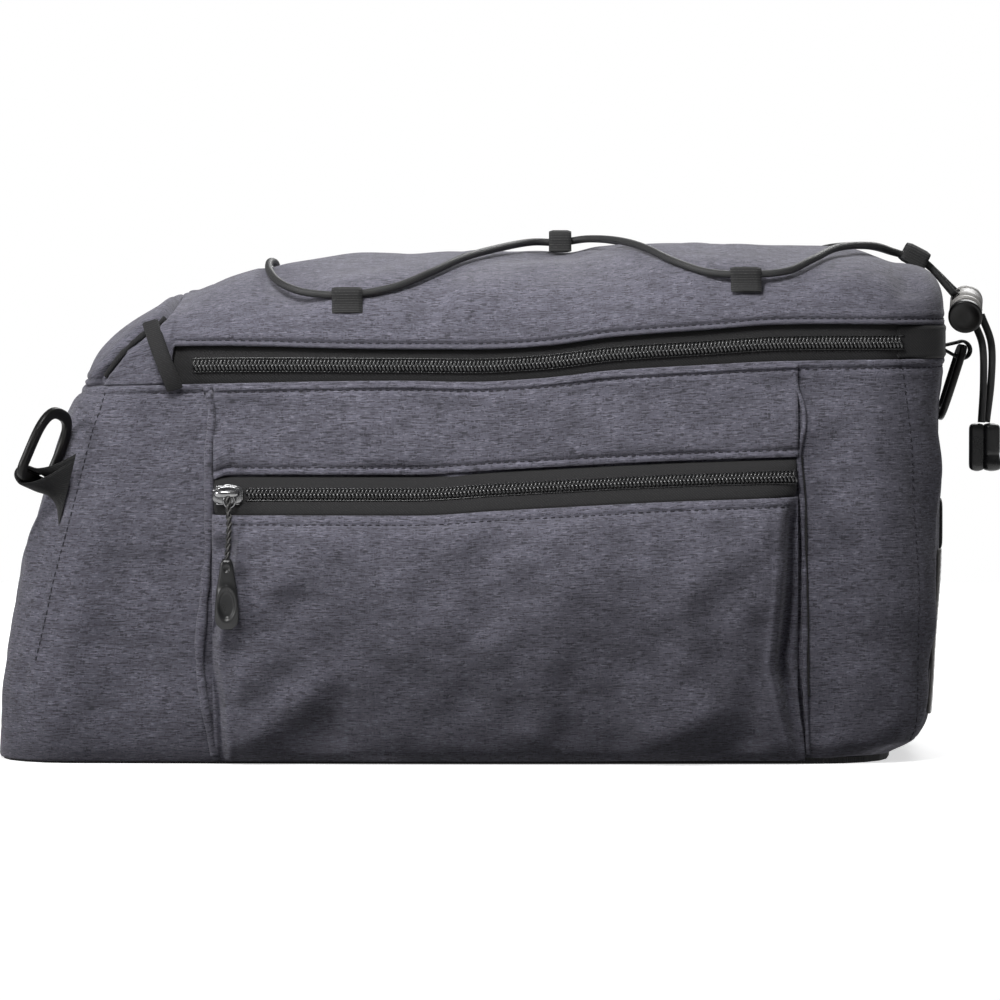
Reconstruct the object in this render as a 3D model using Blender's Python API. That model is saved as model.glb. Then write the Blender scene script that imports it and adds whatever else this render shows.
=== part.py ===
"""A trunk bag for a bicycle's rear rack, closed, with its elastic cord and its two rings.

The origin is the middle of the base's flat underside. +X points to the rear of the bicycle, +Y to the
far side and +Z up. The walls, the lid and the pockets are worked out from tables of sections: each row
holds shares of the named sizes below. Every trim piece takes its place from those same surfaces.
"""

import math

import bmesh
import bpy
import numpy as np

# Body and lid
LENGTH = 0.380
WIDTH = 0.170
LID_TOP = 0.2044  # the highest point of the lid above the base
ZIP_HEIGHT = 0.150  # the body's rim above the base, at mid length
ZIP_OPENING = 0.0135  # between the body's rim and the lid's rim
CORNER_RADIUS = 0.024
END_BOW = 0.008
SIDE_BOW = 0.002
FRONT_TAPER = 0.05  # share of the width lost at the front end
WALL = 0.003  # padded wall
EDGE_WALL = 0.0012  # unpadded edge beside the zip
EDGE_STRIP = 0.0060  # height of that unpadded edge
CLEARANCE = 0.0003
BASE_THICKNESS = 0.0025
BASE_INSET = 0.0010

# Zips
TAPE = 0.0008
TAPE_OVERLAP = 0.002
COIL_WIDTH = 0.0042
COIL_HEIGHT = 0.0013
COIL_START = 0.004  # from the front end of the lid's zip to its coil
LID_SLIDER = 0.013  # from the front end of the lid's zip to its slider's rear end
ZIP_START = -0.113  # where the lid's zip begins
RAMP = 0.005  # length over which the lid's rim drops to the body in front of the zip
BAND_WIDTH = 0.0062  # the black band at the zip's front end
BAND_LEAN = 0.0095  # how far that band leans forward
BAND_TOP = 0.0245  # and its height above the body's rim
REAR_BAND_PROUD = 0.0010
REAR_BAND_START = 0.166
POCKET_TAPE_START = 0.006  # from the pocket's front seam to its tape
POCKET_TAPE_END = 0.003  # from the tape to the pocket's rear seam
POCKET_COIL_END = 0.005

# Pockets
POCKET_FRONT = -0.103
POCKET_REAR = 0.128
POCKET_TOP = 0.100
POCKET_FOOT = 0.004
POCKET_DEPTH = 0.018
POCKET_WALL = 0.002
POCKET_SLIDER = 0.0147  # from the pocket's front seam to its slider's rear end
POCKET_OPENING = 0.0155
PANEL_WALL = 0.0014
PANEL_GAP = 0.0012  # between the upper panel and the lid's zip

# Elastic cord, its loops and its lock
CORD = 0.003
LOOP_WIDTH = 0.012
LOOP_LENGTH = 0.013
LOOP_ROOM = 0.0015  # beyond the cord's own thickness, under each lid loop
WEBBING = 0.0012
FRONT_LOOP_X = -0.048
REAR_LOOP_X = 0.108
CENTRE_LOOP_X = 0.036
CENTRE_LOOP_WIDTH = 0.009
CENTRE_LOOP_ROOM = 0.0016  # beside the cord's runs, and over them
CENTRE_LOOP_LIFT = 0.0039
TAIL_LOOP_X = 0.1775
TAIL_LOOP_WIDTH = 0.0105
TAIL_LOOP_ROOM = 0.0022
TAIL_LOOP_LIFT = 0.0028
CORD_LEAD_X = 0.190  # where the cord leaves the lid for its lock
CORD_BEND_X = -0.080  # its bend at the front
LOCK_RADIUS = 0.0066
LOCK_LENGTH = 0.0145
LOCK_CENTRE = (0.2003, 0.0012, 0.1792)
LOCK_AXIS = (-0.10, -0.93, -0.33)
LOCK_PITCH = 0.0021  # from the lock's middle to each run of the cord, along its axis
CORD_ENTRY = (-0.62, 0.0, 0.78)  # the way from the lock's axis to where the cord goes in
CORD_EXITS = ((0.45, 0.0, -0.89), (0.80, 0.0, -0.60))  # and to where each tail comes out
BUTTON_RADIUS = 0.0069
BUTTON_THICKNESS = 0.003
BUTTON_TRAVEL = 0.003
STEM_RADIUS = 0.0034
STEM_LENGTH = 0.0085
CORD_END_LENGTH = 0.0195
CORD_END_WIDTH = 0.0125
CORD_END_DEPTH = 0.0075

# Rings and their webbing
RING_BAR = 0.0045
RING_THICKNESS = 0.0024
RING_WIDTH = 0.026
RING_LENGTH = 0.032
RING_ROOM = 0.0004  # between a ring's bar and the webbing folded round it
FRONT_RING_HEIGHT = 0.1115
FRONT_RING_REACH = 0.0145
FRONT_RING_LIFT = 0.0006  # of its webbing off the corner
FRONT_RING_FORWARD = (-0.94, -0.20, 0.04)  # from the seam to the ring's bar
FRONT_RING_ACROSS = (-0.40, -0.86, 0.25)  # along that bar
FRONT_RING_UP = (0.34, 0.0, 0.94)  # from the bar to the bow
REAR_RING_REACH = 0.0068
REAR_RING_DROP = 0.0032  # of the rear tab below the middle of its band
REAR_RING_DOWN = (-0.30, 0.0, -0.95)  # from the bar to the bow
TAB_WIDTH = 0.028
REAR_TAB_WIDTH = 0.0145

# Pulls
SLIDER_LENGTH = 0.012
SLIDER_WIDTH = 0.0085
SLIDER_HEIGHT = 0.0042
PULL_CORD = 0.0022
PULL_DROP = 0.024
PULL_TAB_LENGTH = 0.0275
PULL_TAB_WIDTH = 0.0095
PULL_TAB_THICKNESS = 0.0032

# Rear strip and light loop
STRIP_WIDTH = 0.012
STRIP_FOOT = 0.018
STRIP_TOP = 0.083
STRIP_THICKNESS = 0.0006
STRIP_LIFT = 0.0005
STRIP_PLACE = 0.045  # from the middle plane to each strip
LIGHT_LOOP_HEIGHT = 0.0915
LIGHT_LOOP_SPAN = 0.044
LIGHT_LOOP_WIDTH = 0.020
LIGHT_LOOP_RISE = 0.0022

# Body sections: height and half width are shares, the two end insets are shares of the length.
BODY_COLUMNS = ("height", "front_inset", "rear_inset", "half_width")
BODY_SECTIONS = (
    (0.00, 0.000, 0.053, 0.900),
    (0.04, 0.001, 0.024, 0.935),
    (0.10, 0.003, 0.016, 0.960),
    (0.30, 0.011, 0.011, 0.990),
    (0.50, 0.026, 0.006, 1.000),
    (0.68, 0.045, 0.0055, 1.000),
    (0.86, 0.067, 0.0055, 0.985),
    (0.94, 0.077, 0.0030, 0.970),
    (1.00, 0.093, 0.0000, 0.966),
)

# Heights along the bag: the place is a share of the length from the front end.
RIM_COLUMNS = ("place", "rim", "opening")
RIM_SECTIONS = (
    (0.00, 0.980, 1.10),
    (0.20, 0.993, 1.10),
    (0.43, 1.003, 0.90),
    (0.50, 1.000, 0.93),
    (0.57, 1.009, 0.91),
    (0.65, 1.031, 0.95),
    (0.74, 1.044, 1.00),
    (0.82, 1.054, 1.05),
    (1.00, 1.060, 0.97),
)
CROWN_COLUMNS = ("place", "crown")
CROWN_SECTIONS = (
    (0.000, 0.905),
    (0.205, 0.905),
    (0.224, 0.917),
    (0.252, 0.938),
    (0.287, 0.956),
    (0.352, 0.971),
    (0.424, 0.980),
    (0.553, 0.982),
    (0.595, 0.979),
    (0.637, 0.993),
    (0.679, 1.000),
    (0.790, 1.000),
    (0.850, 0.994),
    (0.895, 0.988),
    (0.926, 0.976),
    (0.950, 0.963),
    (1.000, 0.959),
)
SPINE_FRONT = 0.224  # share of the length where the lid's ridge begins, and where it ends
SPINE_REAR = 0.934
FRONT_ROUNDNESS = 1.65  # exponents of the lid's curve at the front, the sides and the rear
SIDE_ROUNDNESS = 2.4
REAR_ROUNDNESS = 3.6

# Pocket: how far it stands out, as shares of its depth, over its height and from one side to the other.
SWELL_COLUMNS = ("height", "depth")
POCKET_SWELL = (
    (0.00, 0.10),
    (0.03, 0.42),
    (0.10, 0.72),
    (0.25, 0.94),
    (0.42, 1.00),
    (0.65, 0.86),
    (0.85, 0.62),
    (1.00, 0.44),
)
POCKET_SIDES = (
    (0.00, 0.06),
    (0.02, 0.55),
    (0.06, 0.84),
    (0.16, 0.96),
    (0.50, 1.00),
    (0.84, 0.96),
    (0.94, 0.84),
    (0.98, 0.55),
    (1.00, 0.06),
)
POCKET_RIM_COLUMNS = ("place", "rim")
POCKET_RIM = (
    (0.00, 0.985),
    (0.35, 0.985),
    (0.50, 1.005),
    (0.80, 1.040),
    (1.00, 1.055),
)

# The cord's route over the near half of the lid, from the lock to the bend at the front. A stage of -1 is
# where it leaves for the lock, 0 the tail loop, 1 the rear lid loop, 2 the centre loop, 3 the front lid loop
# and 4 the bend. Then how far out to the side, as a share of the half width there, and the lift off the lid.
ROUTE_COLUMNS = ("stage", "across", "lift")
CORD_ROUTE = (
    (-1.000, 0.020, 0.0048),
    (-0.600, 0.024, 0.0014),
    (0.000, 0.026, 0.0012),
    (0.108, 0.040, 0.0024),
    (0.252, 0.200, 0.0022),
    (0.453, 0.470, 0.0008),
    (0.612, 0.730, 0.0005),
    (0.770, 0.862, 0.0005),
    (1.000, 0.885, 0.0006),
    (1.208, 0.860, 0.0005),
    (1.389, 0.760, 0.0005),
    (1.542, 0.560, 0.0006),
    (1.681, 0.300, 0.0009),
    (1.833, 0.062, 0.0024),
    (2.000, 0.026, 0.0030),
    (2.143, 0.056, 0.0026),
    (2.298, 0.280, 0.0008),
    (2.464, 0.560, 0.0005),
    (2.607, 0.750, 0.0005),
    (2.786, 0.865, 0.0005),
    (3.000, 0.900, 0.0006),
    (3.500, 0.880, 0.0005),
    (3.812, 0.800, 0.0005),
    (3.969, 0.620, 0.0005),
    (4.000, 0.340, 0.0005),
)
CORD_STEPS = 74  # straight pieces in the laced cord
TAIL_ROUTES = (
    ((0.2068, -0.0016, 0.1630), (0.2072, -0.0016, 0.1480), (0.2064, -0.0016, 0.1322)),
    ((0.2106, 0.0022, 0.1640), (0.2110, 0.0018, 0.1490), (0.2098, 0.0016, 0.1322)),
)
TAIL_STEPS = 6

# Arches of webbing over the cord: how far out from the middle, and how high.
LID_LOOP_ARCH = ((-1.0, 0.0), (-0.75, 0.0), (-0.5, 0.55), (-0.25, 0.95), (0.0, 1.0), (0.25, 0.95), (0.5, 0.55),
                 (0.75, 0.0), (1.0, 0.0))
CENTRE_LOOP_ARCH = ((-1.69, 0.0), (-1.44, 0.05), (-1.31, 0.35), (-1.25, 0.70), (-0.94, 0.98), (0.0, 1.05),
                    (0.94, 0.98), (1.25, 0.70), (1.31, 0.35), (1.44, 0.05), (1.69, 0.0))
TAIL_LOOP_ARCH = ((-1.9, 0.0), (-1.45, 0.02), (-1.25, 0.40), (-1.10, 0.85), (-0.6, 1.02), (0.0, 1.05),
                  (0.6, 1.02), (1.10, 0.85), (1.25, 0.40), (1.45, 0.02), (1.9, 0.0))
LIGHT_LOOP_ARCH = ((-1.0, 0.0), (-0.75, 0.0), (-0.5, 0.5), (-0.25, 0.9), (0.0, 1.0), (0.25, 0.9), (0.5, 0.5),
                   (0.75, 0.0), (1.0, 0.0))

# Cross sections along a slider, a pull tab and the cord end: the place, and shares of the named sizes.
SLIDER_ROWS = ((-0.5, 0.62), (-0.36, 0.92), (0.0, 1.0), (0.3, 0.86), (0.5, 0.55))
PULL_TAB_ROWS = ((0.0, 0.45, 0.75), (0.08, 0.72, 1.0), (0.40, 0.92, 1.0), (0.78, 1.0, 1.0), (0.93, 0.86, 0.9),
                 (1.0, 0.55, 0.6))
CORD_END_ROWS = ((0.0, 0.86, 0.80), (0.05, 0.90, 0.90), (0.70, 1.0, 1.0), (0.90, 1.04, 0.95),
                 (1.0, 0.80, 0.70))

COLOURS = {
    "heather_fabric": (0.135, 0.130, 0.165, 0.92, 0.0),
    "black_base_fabric": (0.020, 0.020, 0.021, 0.85, 0.0),
    "zip_tape": (0.026, 0.026, 0.025, 0.80, 0.0),
    "zip_coil": (0.018, 0.018, 0.018, 0.40, 0.0),
    "webbing": (0.036, 0.035, 0.033, 0.82, 0.0),
    "elastic_cord": (0.030, 0.030, 0.029, 0.75, 0.0),
    "black_plastic": (0.014, 0.014, 0.014, 0.38, 0.0),
    "grey_plastic": (0.300, 0.285, 0.270, 0.45, 0.0),
    "slider_metal": (0.210, 0.210, 0.215, 0.30, 1.0),
    "reflective_strip": (0.270, 0.260, 0.245, 0.35, 0.2),
}


def column(rows, names, name, at):
    """One column of a table of sections, read at the given places by straight runs between the rows."""
    table = np.array(rows)
    return np.interp(at, table[:, 0], table[:, names.index(name)])


def place_along(x):
    return np.asarray(x) / LENGTH + 0.5


def rim_height(x):
    """Height of the body's rim above the base."""
    return ZIP_HEIGHT * column(RIM_SECTIONS, RIM_COLUMNS, "rim", place_along(x))


def lid_rim_height(x):
    """Height of the lid's rim: on the body in front of the zip, and the zip's opening above it behind."""
    opening = ZIP_OPENING * column(RIM_SECTIONS, RIM_COLUMNS, "opening", place_along(x))
    ramp = np.clip((np.asarray(x) - ZIP_START + RAMP) / RAMP, 0.0, 1.0)
    return rim_height(x) + CLEARANCE + ramp * opening


def dome_base(x):
    """Where the lid's side begins to curve inwards: level with the zip, and down at the rim in front."""
    opening = ZIP_OPENING * column(RIM_SECTIONS, RIM_COLUMNS, "opening", place_along(x))
    front = body_ends(1.0)[0]
    ridge = LENGTH * (SPINE_FRONT - 0.5)
    to_front = np.clip((ridge - np.asarray(x)) / (ridge - front), 0.0, 1.0) ** 2
    return rim_height(x) + CLEARANCE + opening * (1.0 - to_front)


def crown_height(x):
    return LID_TOP * column(CROWN_SECTIONS, CROWN_COLUMNS, "crown", place_along(x))


def side_stations():
    """Shares along a straight side, with extra ones where the lid's rim drops in front of the zip."""
    front, rear = body_ends(1.0)
    start = front + END_BOW + CORNER_RADIUS
    run = rear - END_BOW - CORNER_RADIUS - start
    drop = (ZIP_START - RAMP - start) / run
    zip_start = (ZIP_START - start) / run
    return np.concatenate([[0.0, drop], np.linspace(zip_start, 1.0, 14)])


def body_ends(height):
    """X of the body's front and rear, half way across, at a height given as a share of the rim's."""
    front = LENGTH * (column(BODY_SECTIONS, BODY_COLUMNS, "front_inset", height) - 0.5)
    rear = LENGTH * (0.5 - column(BODY_SECTIONS, BODY_COLUMNS, "rear_inset", height))
    return front, rear


def half_width(height):
    return 0.5 * WIDTH * column(BODY_SECTIONS, BODY_COLUMNS, "half_width", height)


def outline(height, inset=0.0):
    """The body's outline seen from above, as points counted from the near side's front end to the rear.

    A rounded rectangle in which x grows by END_BOW * (1 - (y / hy)**2) towards the middle of each end,
    y grows by SIDE_BOW * (1 - (x / hx)**2) towards the middle of each side, and the front narrows.
    """
    front, rear = body_ends(height)
    middle = 0.5 * (front + rear)
    hx = 0.5 * (rear - front) - END_BOW - inset
    hy = half_width(height) - SIDE_BOW - inset
    radius = CORNER_RADIUS - inset
    along = (hx - radius) * (2.0 * side_stations() - 1.0)
    across = (hy - radius) * np.linspace(-1.0, 1.0, 7)
    turn = np.linspace(0.0, 0.5 * math.pi, 5)[1:-1]
    corner = radius * np.stack([np.sin(turn), -np.cos(turn)], axis=1)
    near = np.stack([along, np.full(len(along), -hy)], axis=1)
    near_rear = corner + (hx - radius, radius - hy)
    rear_end = np.stack([np.full(len(across), hx), across], axis=1)
    half = np.concatenate([near, near_rear, rear_end])
    front_end = rear_end * (-1.0, -1.0)
    far = near[::-1] * (1.0, -1.0)
    far_rear = near_rear[::-1] * (1.0, -1.0)
    near_front = near_rear * (-1.0, 1.0)
    points = np.concatenate([half, far_rear, far, near_front * (1.0, -1.0), front_end, near_front[::-1]])
    x = points[:, 0] * (1.0 + END_BOW / hx * (1.0 - (points[:, 1] / hy) ** 2))
    y = points[:, 1] * (1.0 + SIDE_BOW / hy * (1.0 - np.clip(points[:, 0] / hx, -1.0, 1.0) ** 2))
    x = x + middle
    return np.stack([x, y * (1.0 + FRONT_TAPER * np.minimum(x, 0.0) / (0.5 * LENGTH))], axis=1)


def side_wall(x, z):
    """How far the body's side wall is from the middle plane at a place on the straight side."""
    height = np.asarray(z) / rim_height(x)
    front, rear = body_ends(height)
    hx = 0.5 * (rear - front) - END_BOW
    along = (np.asarray(x) - 0.5 * (front + rear)) / hx
    wide = half_width(height) - SIDE_BOW * np.clip(along, -1.0, 1.0) ** 2
    return wide * (1.0 + FRONT_TAPER * np.minimum(x, 0.0) / (0.5 * LENGTH))


def lid_rings(inset, edge_inset):
    """Rings of the lid from its rim to its ridge; the lowest two lie inset by edge_inset instead.

    At an angle a, a ring's points lie cos(a)**(2/n) of the way out from the ridge and
    sin(a)**(2/n) of the way up from the rim, with an exponent n that differs at the front and the rear.
    """
    angles = np.concatenate([[0.0, 0.12], np.linspace(0.24, 0.5 * math.pi, 7)])
    ridge = LENGTH * (np.array([SPINE_FRONT, SPINE_REAR]) - 0.5)
    rings = []
    for number, angle in enumerate(angles):
        depth = edge_inset if number < 2 else inset
        plan = outline(1.0, depth)
        core = np.clip(plan[:, 0], *ridge)
        front, rear = body_ends(1.0)
        to_front = np.clip((ridge[0] - plan[:, 0]) / (ridge[0] - front), 0.0, 1.0) ** 2
        to_rear = np.clip((plan[:, 0] - ridge[1]) / (rear - ridge[1]), 0.0, 1.0) ** 2
        n = SIDE_ROUNDNESS + to_front * (FRONT_ROUNDNESS - SIDE_ROUNDNESS)
        n = n + to_rear * (REAR_ROUNDNESS - SIDE_ROUNDNESS)
        out = max(math.cos(angle), 0.0) ** (2.0 / n) if number < len(angles) - 1 else 0.0 * n
        up = math.sin(angle) ** (2.0 / n)
        x = core + (plan[:, 0] - core) * out
        base = lid_rim_height(plan[:, 0]) if number == 0 else dome_base(plan[:, 0])
        z = base + (crown_height(x) - inset - base) * up
        rings.append(np.stack([x, plan[:, 1] * out, z], axis=1))
    return np.array(rings)


def on_lid(x, across):
    """A point on the lid's curve: x, how far out as a signed share of the half width, and the normal."""
    def surface(place, share):
        edge = side_wall(place, rim_height(place))
        up = (1.0 - min(abs(share), 1.0) ** SIDE_ROUNDNESS) ** (1.0 / SIDE_ROUNDNESS)
        base = dome_base(place)
        return np.array([place, share * edge, base + (crown_height(place) - base) * up])
    step = 0.002
    point = surface(x, across)
    slope_x = surface(x + step, across) - surface(x - step, across)
    slope_y = surface(x, across + 0.02) - surface(x, across - 0.02)
    normal = np.cross(slope_x, slope_y)
    return point, normal / np.linalg.norm(normal)


def unit(vector):
    vector = np.asarray(vector, float)
    return vector / np.linalg.norm(vector)


def material(name):
    found = bpy.data.materials.get(name)
    if found:
        return found
    red, green, blue, roughness, metallic = COLOURS[name]
    made = bpy.data.materials.new(name)
    made.use_nodes = True
    shader = made.node_tree.nodes["Principled BSDF"]
    shader.inputs["Base Color"].default_value = (red, green, blue, 1.0)
    shader.inputs["Roughness"].default_value = roughness
    shader.inputs["Metallic"].default_value = metallic
    return made


def add_mesh(name, points, faces, finish, sharp=40.0):
    """Puts a closed mesh in the scene with its faces turned outwards."""
    mesh = bpy.data.meshes.new(name)
    mesh.from_pydata([tuple(point) for point in np.asarray(points, float)], [], faces)
    work = bmesh.new()
    work.from_mesh(mesh)
    bmesh.ops.remove_doubles(work, verts=work.verts, dist=1e-6)
    bmesh.ops.recalc_face_normals(work, faces=work.faces)
    work.to_mesh(mesh)
    work.free()
    mesh.shade_smooth()
    mesh.set_sharp_from_angle(angle=math.radians(sharp))
    mesh.materials.append(material(finish))
    made = bpy.data.objects.new(name, mesh)
    bpy.context.collection.objects.link(made)
    return made


def grid_faces(rows, columns, start=0, wrap=False):
    """Quads of a grid of points laid row after row; wrap joins the last column to the first."""
    last = columns if wrap else columns - 1
    faces = []
    for row in range(rows - 1):
        for number in range(last):
            after = (number + 1) % columns
            a = start + row * columns
            faces.append((a + number, a + after, a + columns + after, a + columns + number))
    return faces


def swept(name, sections, finish, closed=False, sharp=40.0):
    """A solid swept through sections of equal point count; closed joins the last one to the first."""
    sections = np.asarray(sections, float)
    count, size = sections.shape[:2]
    faces = grid_faces(count, size, wrap=True)
    if closed:
        last = (count - 1) * size
        for number in range(size):
            after = (number + 1) % size
            faces.append((last + number, last + after, after, number))
    else:
        faces.append(tuple(range(size))[::-1])
        faces.append(tuple((count - 1) * size + number for number in range(size)))
    return add_mesh(name, sections.reshape(-1, 3), faces, finish, sharp)


def sheet_solid(name, outer, inner, finish):
    """A wall between two grids of points, closed round its four edges."""
    rows, columns = outer.shape[:2]
    size = rows * columns
    faces = grid_faces(rows, columns)
    faces += grid_faces(rows, columns, size)
    border = list(range(columns))
    border += [row * columns + columns - 1 for row in range(1, rows)]
    border += [(rows - 1) * columns + number for number in range(columns - 2, -1, -1)]
    border += [row * columns for row in range(rows - 2, 0, -1)]
    for a, b in zip(border, border[1:] + border[:1]):
        faces.append((a, b, b + size, a + size))
    return add_mesh(name, np.concatenate([outer.reshape(-1, 3), inner.reshape(-1, 3)]), faces, finish)


def turned(name, profile, centre, axis, finish, sides=20):
    """A solid of revolution: profile rows are (along the axis, radius), from axis to axis."""
    axis = unit(axis)
    first = unit(np.cross(axis, (0.0, 0.0, 1.0)))
    second = np.cross(axis, first)
    turn = np.linspace(0.0, 2.0 * math.pi, sides, endpoint=False)
    points = []
    for along, radius in profile:
        ring = np.outer(np.cos(turn), first) + np.outer(np.sin(turn), second)
        points.append(np.asarray(centre) + axis * along + radius * ring)
    faces = grid_faces(len(profile), sides, wrap=True)
    return add_mesh(name, np.concatenate(points), faces, finish)


def strap(name, path, across, thickness, finish, sharp=40.0):
    """A strip along a path; across holds, for each point, the vector from one edge to the other."""
    path = np.asarray(path, float)
    across = np.broadcast_to(np.asarray(across, float), path.shape)
    run = np.gradient(path, axis=0)
    normal = np.cross(run, across)
    normal = normal / np.linalg.norm(normal, axis=1)[:, None]
    half = 0.5 * across
    skin = 0.5 * thickness * normal
    sections = np.stack([path - half - skin, path + half - skin, path + half + skin, path - half + skin], axis=1)
    return swept(name, sections, finish, sharp=sharp)


def smooth_line(points, steps):
    """Evenly spaced points on a Catmull-Rom curve through the given points."""
    points = np.asarray(points, float)
    ends = np.concatenate([[2 * points[0] - points[1]], points, [2 * points[-1] - points[-2]]])
    fine = []
    t = np.linspace(0.0, 1.0, 12, endpoint=False)[:, None]
    for a, b, c, d in zip(ends[:-3], ends[1:-2], ends[2:-1], ends[3:]):
        fine.append(0.5 * (2 * b + (c - a) * t + (2 * a - 5 * b + 4 * c - d) * t**2
                           + (3 * b - a - 3 * c + d) * t**3))
    fine = np.concatenate(fine + [points[-1:]])
    run = np.concatenate([[0.0], np.cumsum(np.linalg.norm(np.diff(fine, axis=0), axis=1))])
    at = np.linspace(0.0, run[-1], steps + 1)
    return np.stack([np.interp(at, run, fine[:, axis]) for axis in range(3)], axis=1)


def cord(name, points, diameter, finish):
    """A round cord as a curve with a bevel and filled caps."""
    curve = bpy.data.curves.new(name, "CURVE")
    curve.dimensions = "3D"
    curve.bevel_depth = 0.5 * diameter
    curve.bevel_resolution = 2
    curve.use_fill_caps = True
    spline = curve.splines.new("POLY")
    spline.points.add(len(points) - 1)
    for place, point in zip(spline.points, points):
        place.co = (*point, 1.0)
    curve.materials.append(material(finish))
    made = bpy.data.objects.new(name, curve)
    bpy.context.collection.objects.link(made)
    return made


def make_body():
    """The padded wall all round, open at the top, standing on the base panel's rim."""
    heights = np.array([row[0] for row in BODY_SECTIONS])
    thin = 1.0 - EDGE_STRIP / ZIP_HEIGHT
    thick = 1.0 - 1.6 * EDGE_STRIP / ZIP_HEIGHT
    inner_heights = np.concatenate([heights[heights < thick - 0.01], [thick, thin, 1.0]])
    foot = BASE_THICKNESS + CLEARANCE
    rows = []
    for height in heights:
        plan = outline(height)
        z = foot + height * (rim_height(plan[:, 0]) - foot)
        rows.append(np.column_stack([plan, z]))
    for height in inner_heights[::-1]:
        plan = outline(height, EDGE_WALL if height >= thin else WALL)
        z = foot + height * (rim_height(plan[:, 0]) - foot)
        rows.append(np.column_stack([plan, z]))
    swept("body_shell", np.array(rows).transpose(1, 0, 2), "heather_fabric", closed=True)


def make_base():
    plan = outline(0.0, BASE_INSET)
    low = np.column_stack([plan, np.zeros(len(plan))])
    high = np.column_stack([plan, np.full(len(plan), BASE_THICKNESS)])
    swept("base_panel", [low, high], "black_base_fabric")


def make_lid():
    """The domed lid, hollow, with its rim thinned where the zip's tape lies behind it."""
    outer = lid_rings(0.0, 0.0)
    inner = lid_rings(WALL, EDGE_WALL)
    rows, columns = outer.shape[:2]
    size = rows * columns
    faces = grid_faces(rows, columns, wrap=True)
    faces += grid_faces(rows, columns, size, wrap=True)
    for number in range(columns):
        after = (number + 1) % columns
        faces.append((number, after, size + after, size + number))
    points = np.concatenate([outer.reshape(-1, 3), inner.reshape(-1, 3)])
    add_mesh("lid", points, faces, "heather_fabric")


def zip_path(inset, start):
    """The rim's outline from the near side round the rear to the far side, with x of at least start."""
    near_and_rear = 2 * (len(side_stations()) + 3) + 7
    points = outline(1.0, inset)[:near_and_rear]
    return points[points[:, 0] >= start - 1e-9]


def make_lid_zip():
    """The tape round three sides behind both rims, the coils along the sides and the band at the rear."""
    tape_outer = zip_path(EDGE_WALL + 2 * CLEARANCE, ZIP_START)
    tape_inner = zip_path(EDGE_WALL + 2 * CLEARANCE + TAPE, ZIP_START)
    count = min(len(tape_outer), len(tape_inner))
    tape_outer, tape_inner = tape_outer[:count], tape_inner[:count]
    low = rim_height(tape_outer[:, 0]) - TAPE_OVERLAP
    high = lid_rim_height(tape_outer[:, 0]) + TAPE_OVERLAP
    sections = np.stack([np.column_stack([tape_outer, low]), np.column_stack([tape_outer, high]),
                         np.column_stack([tape_inner, high]), np.column_stack([tape_inner, low])], axis=1)
    swept("lid_zip_tape", sections, "zip_tape")
    for side, label in ((-1.0, "near"), (1.0, "far")):
        x = np.linspace(ZIP_START + COIL_START, REAR_BAND_START, 20)
        x = np.minimum(x, body_ends(1.0)[1] - END_BOW - CORNER_RADIUS)
        x = np.unique(x)
        back = side_wall(x, rim_height(x)) - EDGE_WALL - CLEARANCE
        middle = 0.5 * (rim_height(x) + lid_rim_height(x))
        make_coil("lid_zip_coil_" + label, x, side, back, middle)
        make_front_band(side, label)
    make_rear_band()


def make_coil(name, x, side, back, middle):
    """A zip's coil: a low rounded ridge along its tape."""
    half = 0.5 * COIL_WIDTH
    profile = ((0.0, -half), (0.8 * COIL_HEIGHT, -0.7 * half), (COIL_HEIGHT, 0.0),
               (0.8 * COIL_HEIGHT, 0.7 * half), (0.0, half))
    sections = [np.column_stack([x, side * (back + out), middle + up]) for out, up in profile]
    swept(name, np.stack(sections, axis=1), "zip_coil", sharp=60.0)


def make_front_band(side, label):
    """The black band sewn over the front end of the lid's zip, leaning forwards up the lid."""
    rise = np.linspace(0.02, 1.0, 7)
    rows = []
    for share in rise:
        x = ZIP_START - RAMP + 0.002 - BAND_LEAN * share + np.array([-0.5, 0.5]) * BAND_WIDTH
        z = rim_height(x) + CLEARANCE + BAND_TOP * share
        up = (z - dome_base(x)) / (crown_height(x) - dome_base(x))
        out = (1.0 - np.clip(up, 0.0, 1.0) ** SIDE_ROUNDNESS) ** (1.0 / SIDE_ROUNDNESS)
        y = side * (side_wall(x, rim_height(x)) * out + CLEARANCE)
        low = np.column_stack([x, y, z])
        high = low + (0.0, side * (TAPE + 0.0006), 0.0)
        rows.append([low[0], low[1], high[1], high[0]])
    swept("lid_zip_end_" + label, rows, "zip_tape")


def make_rear_band():
    """The smooth black band that covers the zip round the rear end, standing a little proud."""
    corner = body_ends(1.0)[1] - END_BOW - CORNER_RADIUS

    def path(inset):
        return zip_path(inset, corner + 1e-6)
    outer = path(-REAR_BAND_PROUD)
    inner = path(EDGE_WALL + CLEARANCE)
    low = rim_height(outer[:, 0]) + CLEARANCE
    high = lid_rim_height(outer[:, 0]) - CLEARANCE
    sections = np.stack([np.column_stack([inner, low]), np.column_stack([outer, low]),
                         np.column_stack([outer, high]), np.column_stack([inner, high])], axis=1)
    swept("rear_zip_band", sections, "zip_tape")


def pocket_rim(x):
    share = (np.asarray(x) - POCKET_FRONT) / (POCKET_REAR - POCKET_FRONT)
    return POCKET_TOP * column(POCKET_RIM, POCKET_RIM_COLUMNS, "rim", share)


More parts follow.
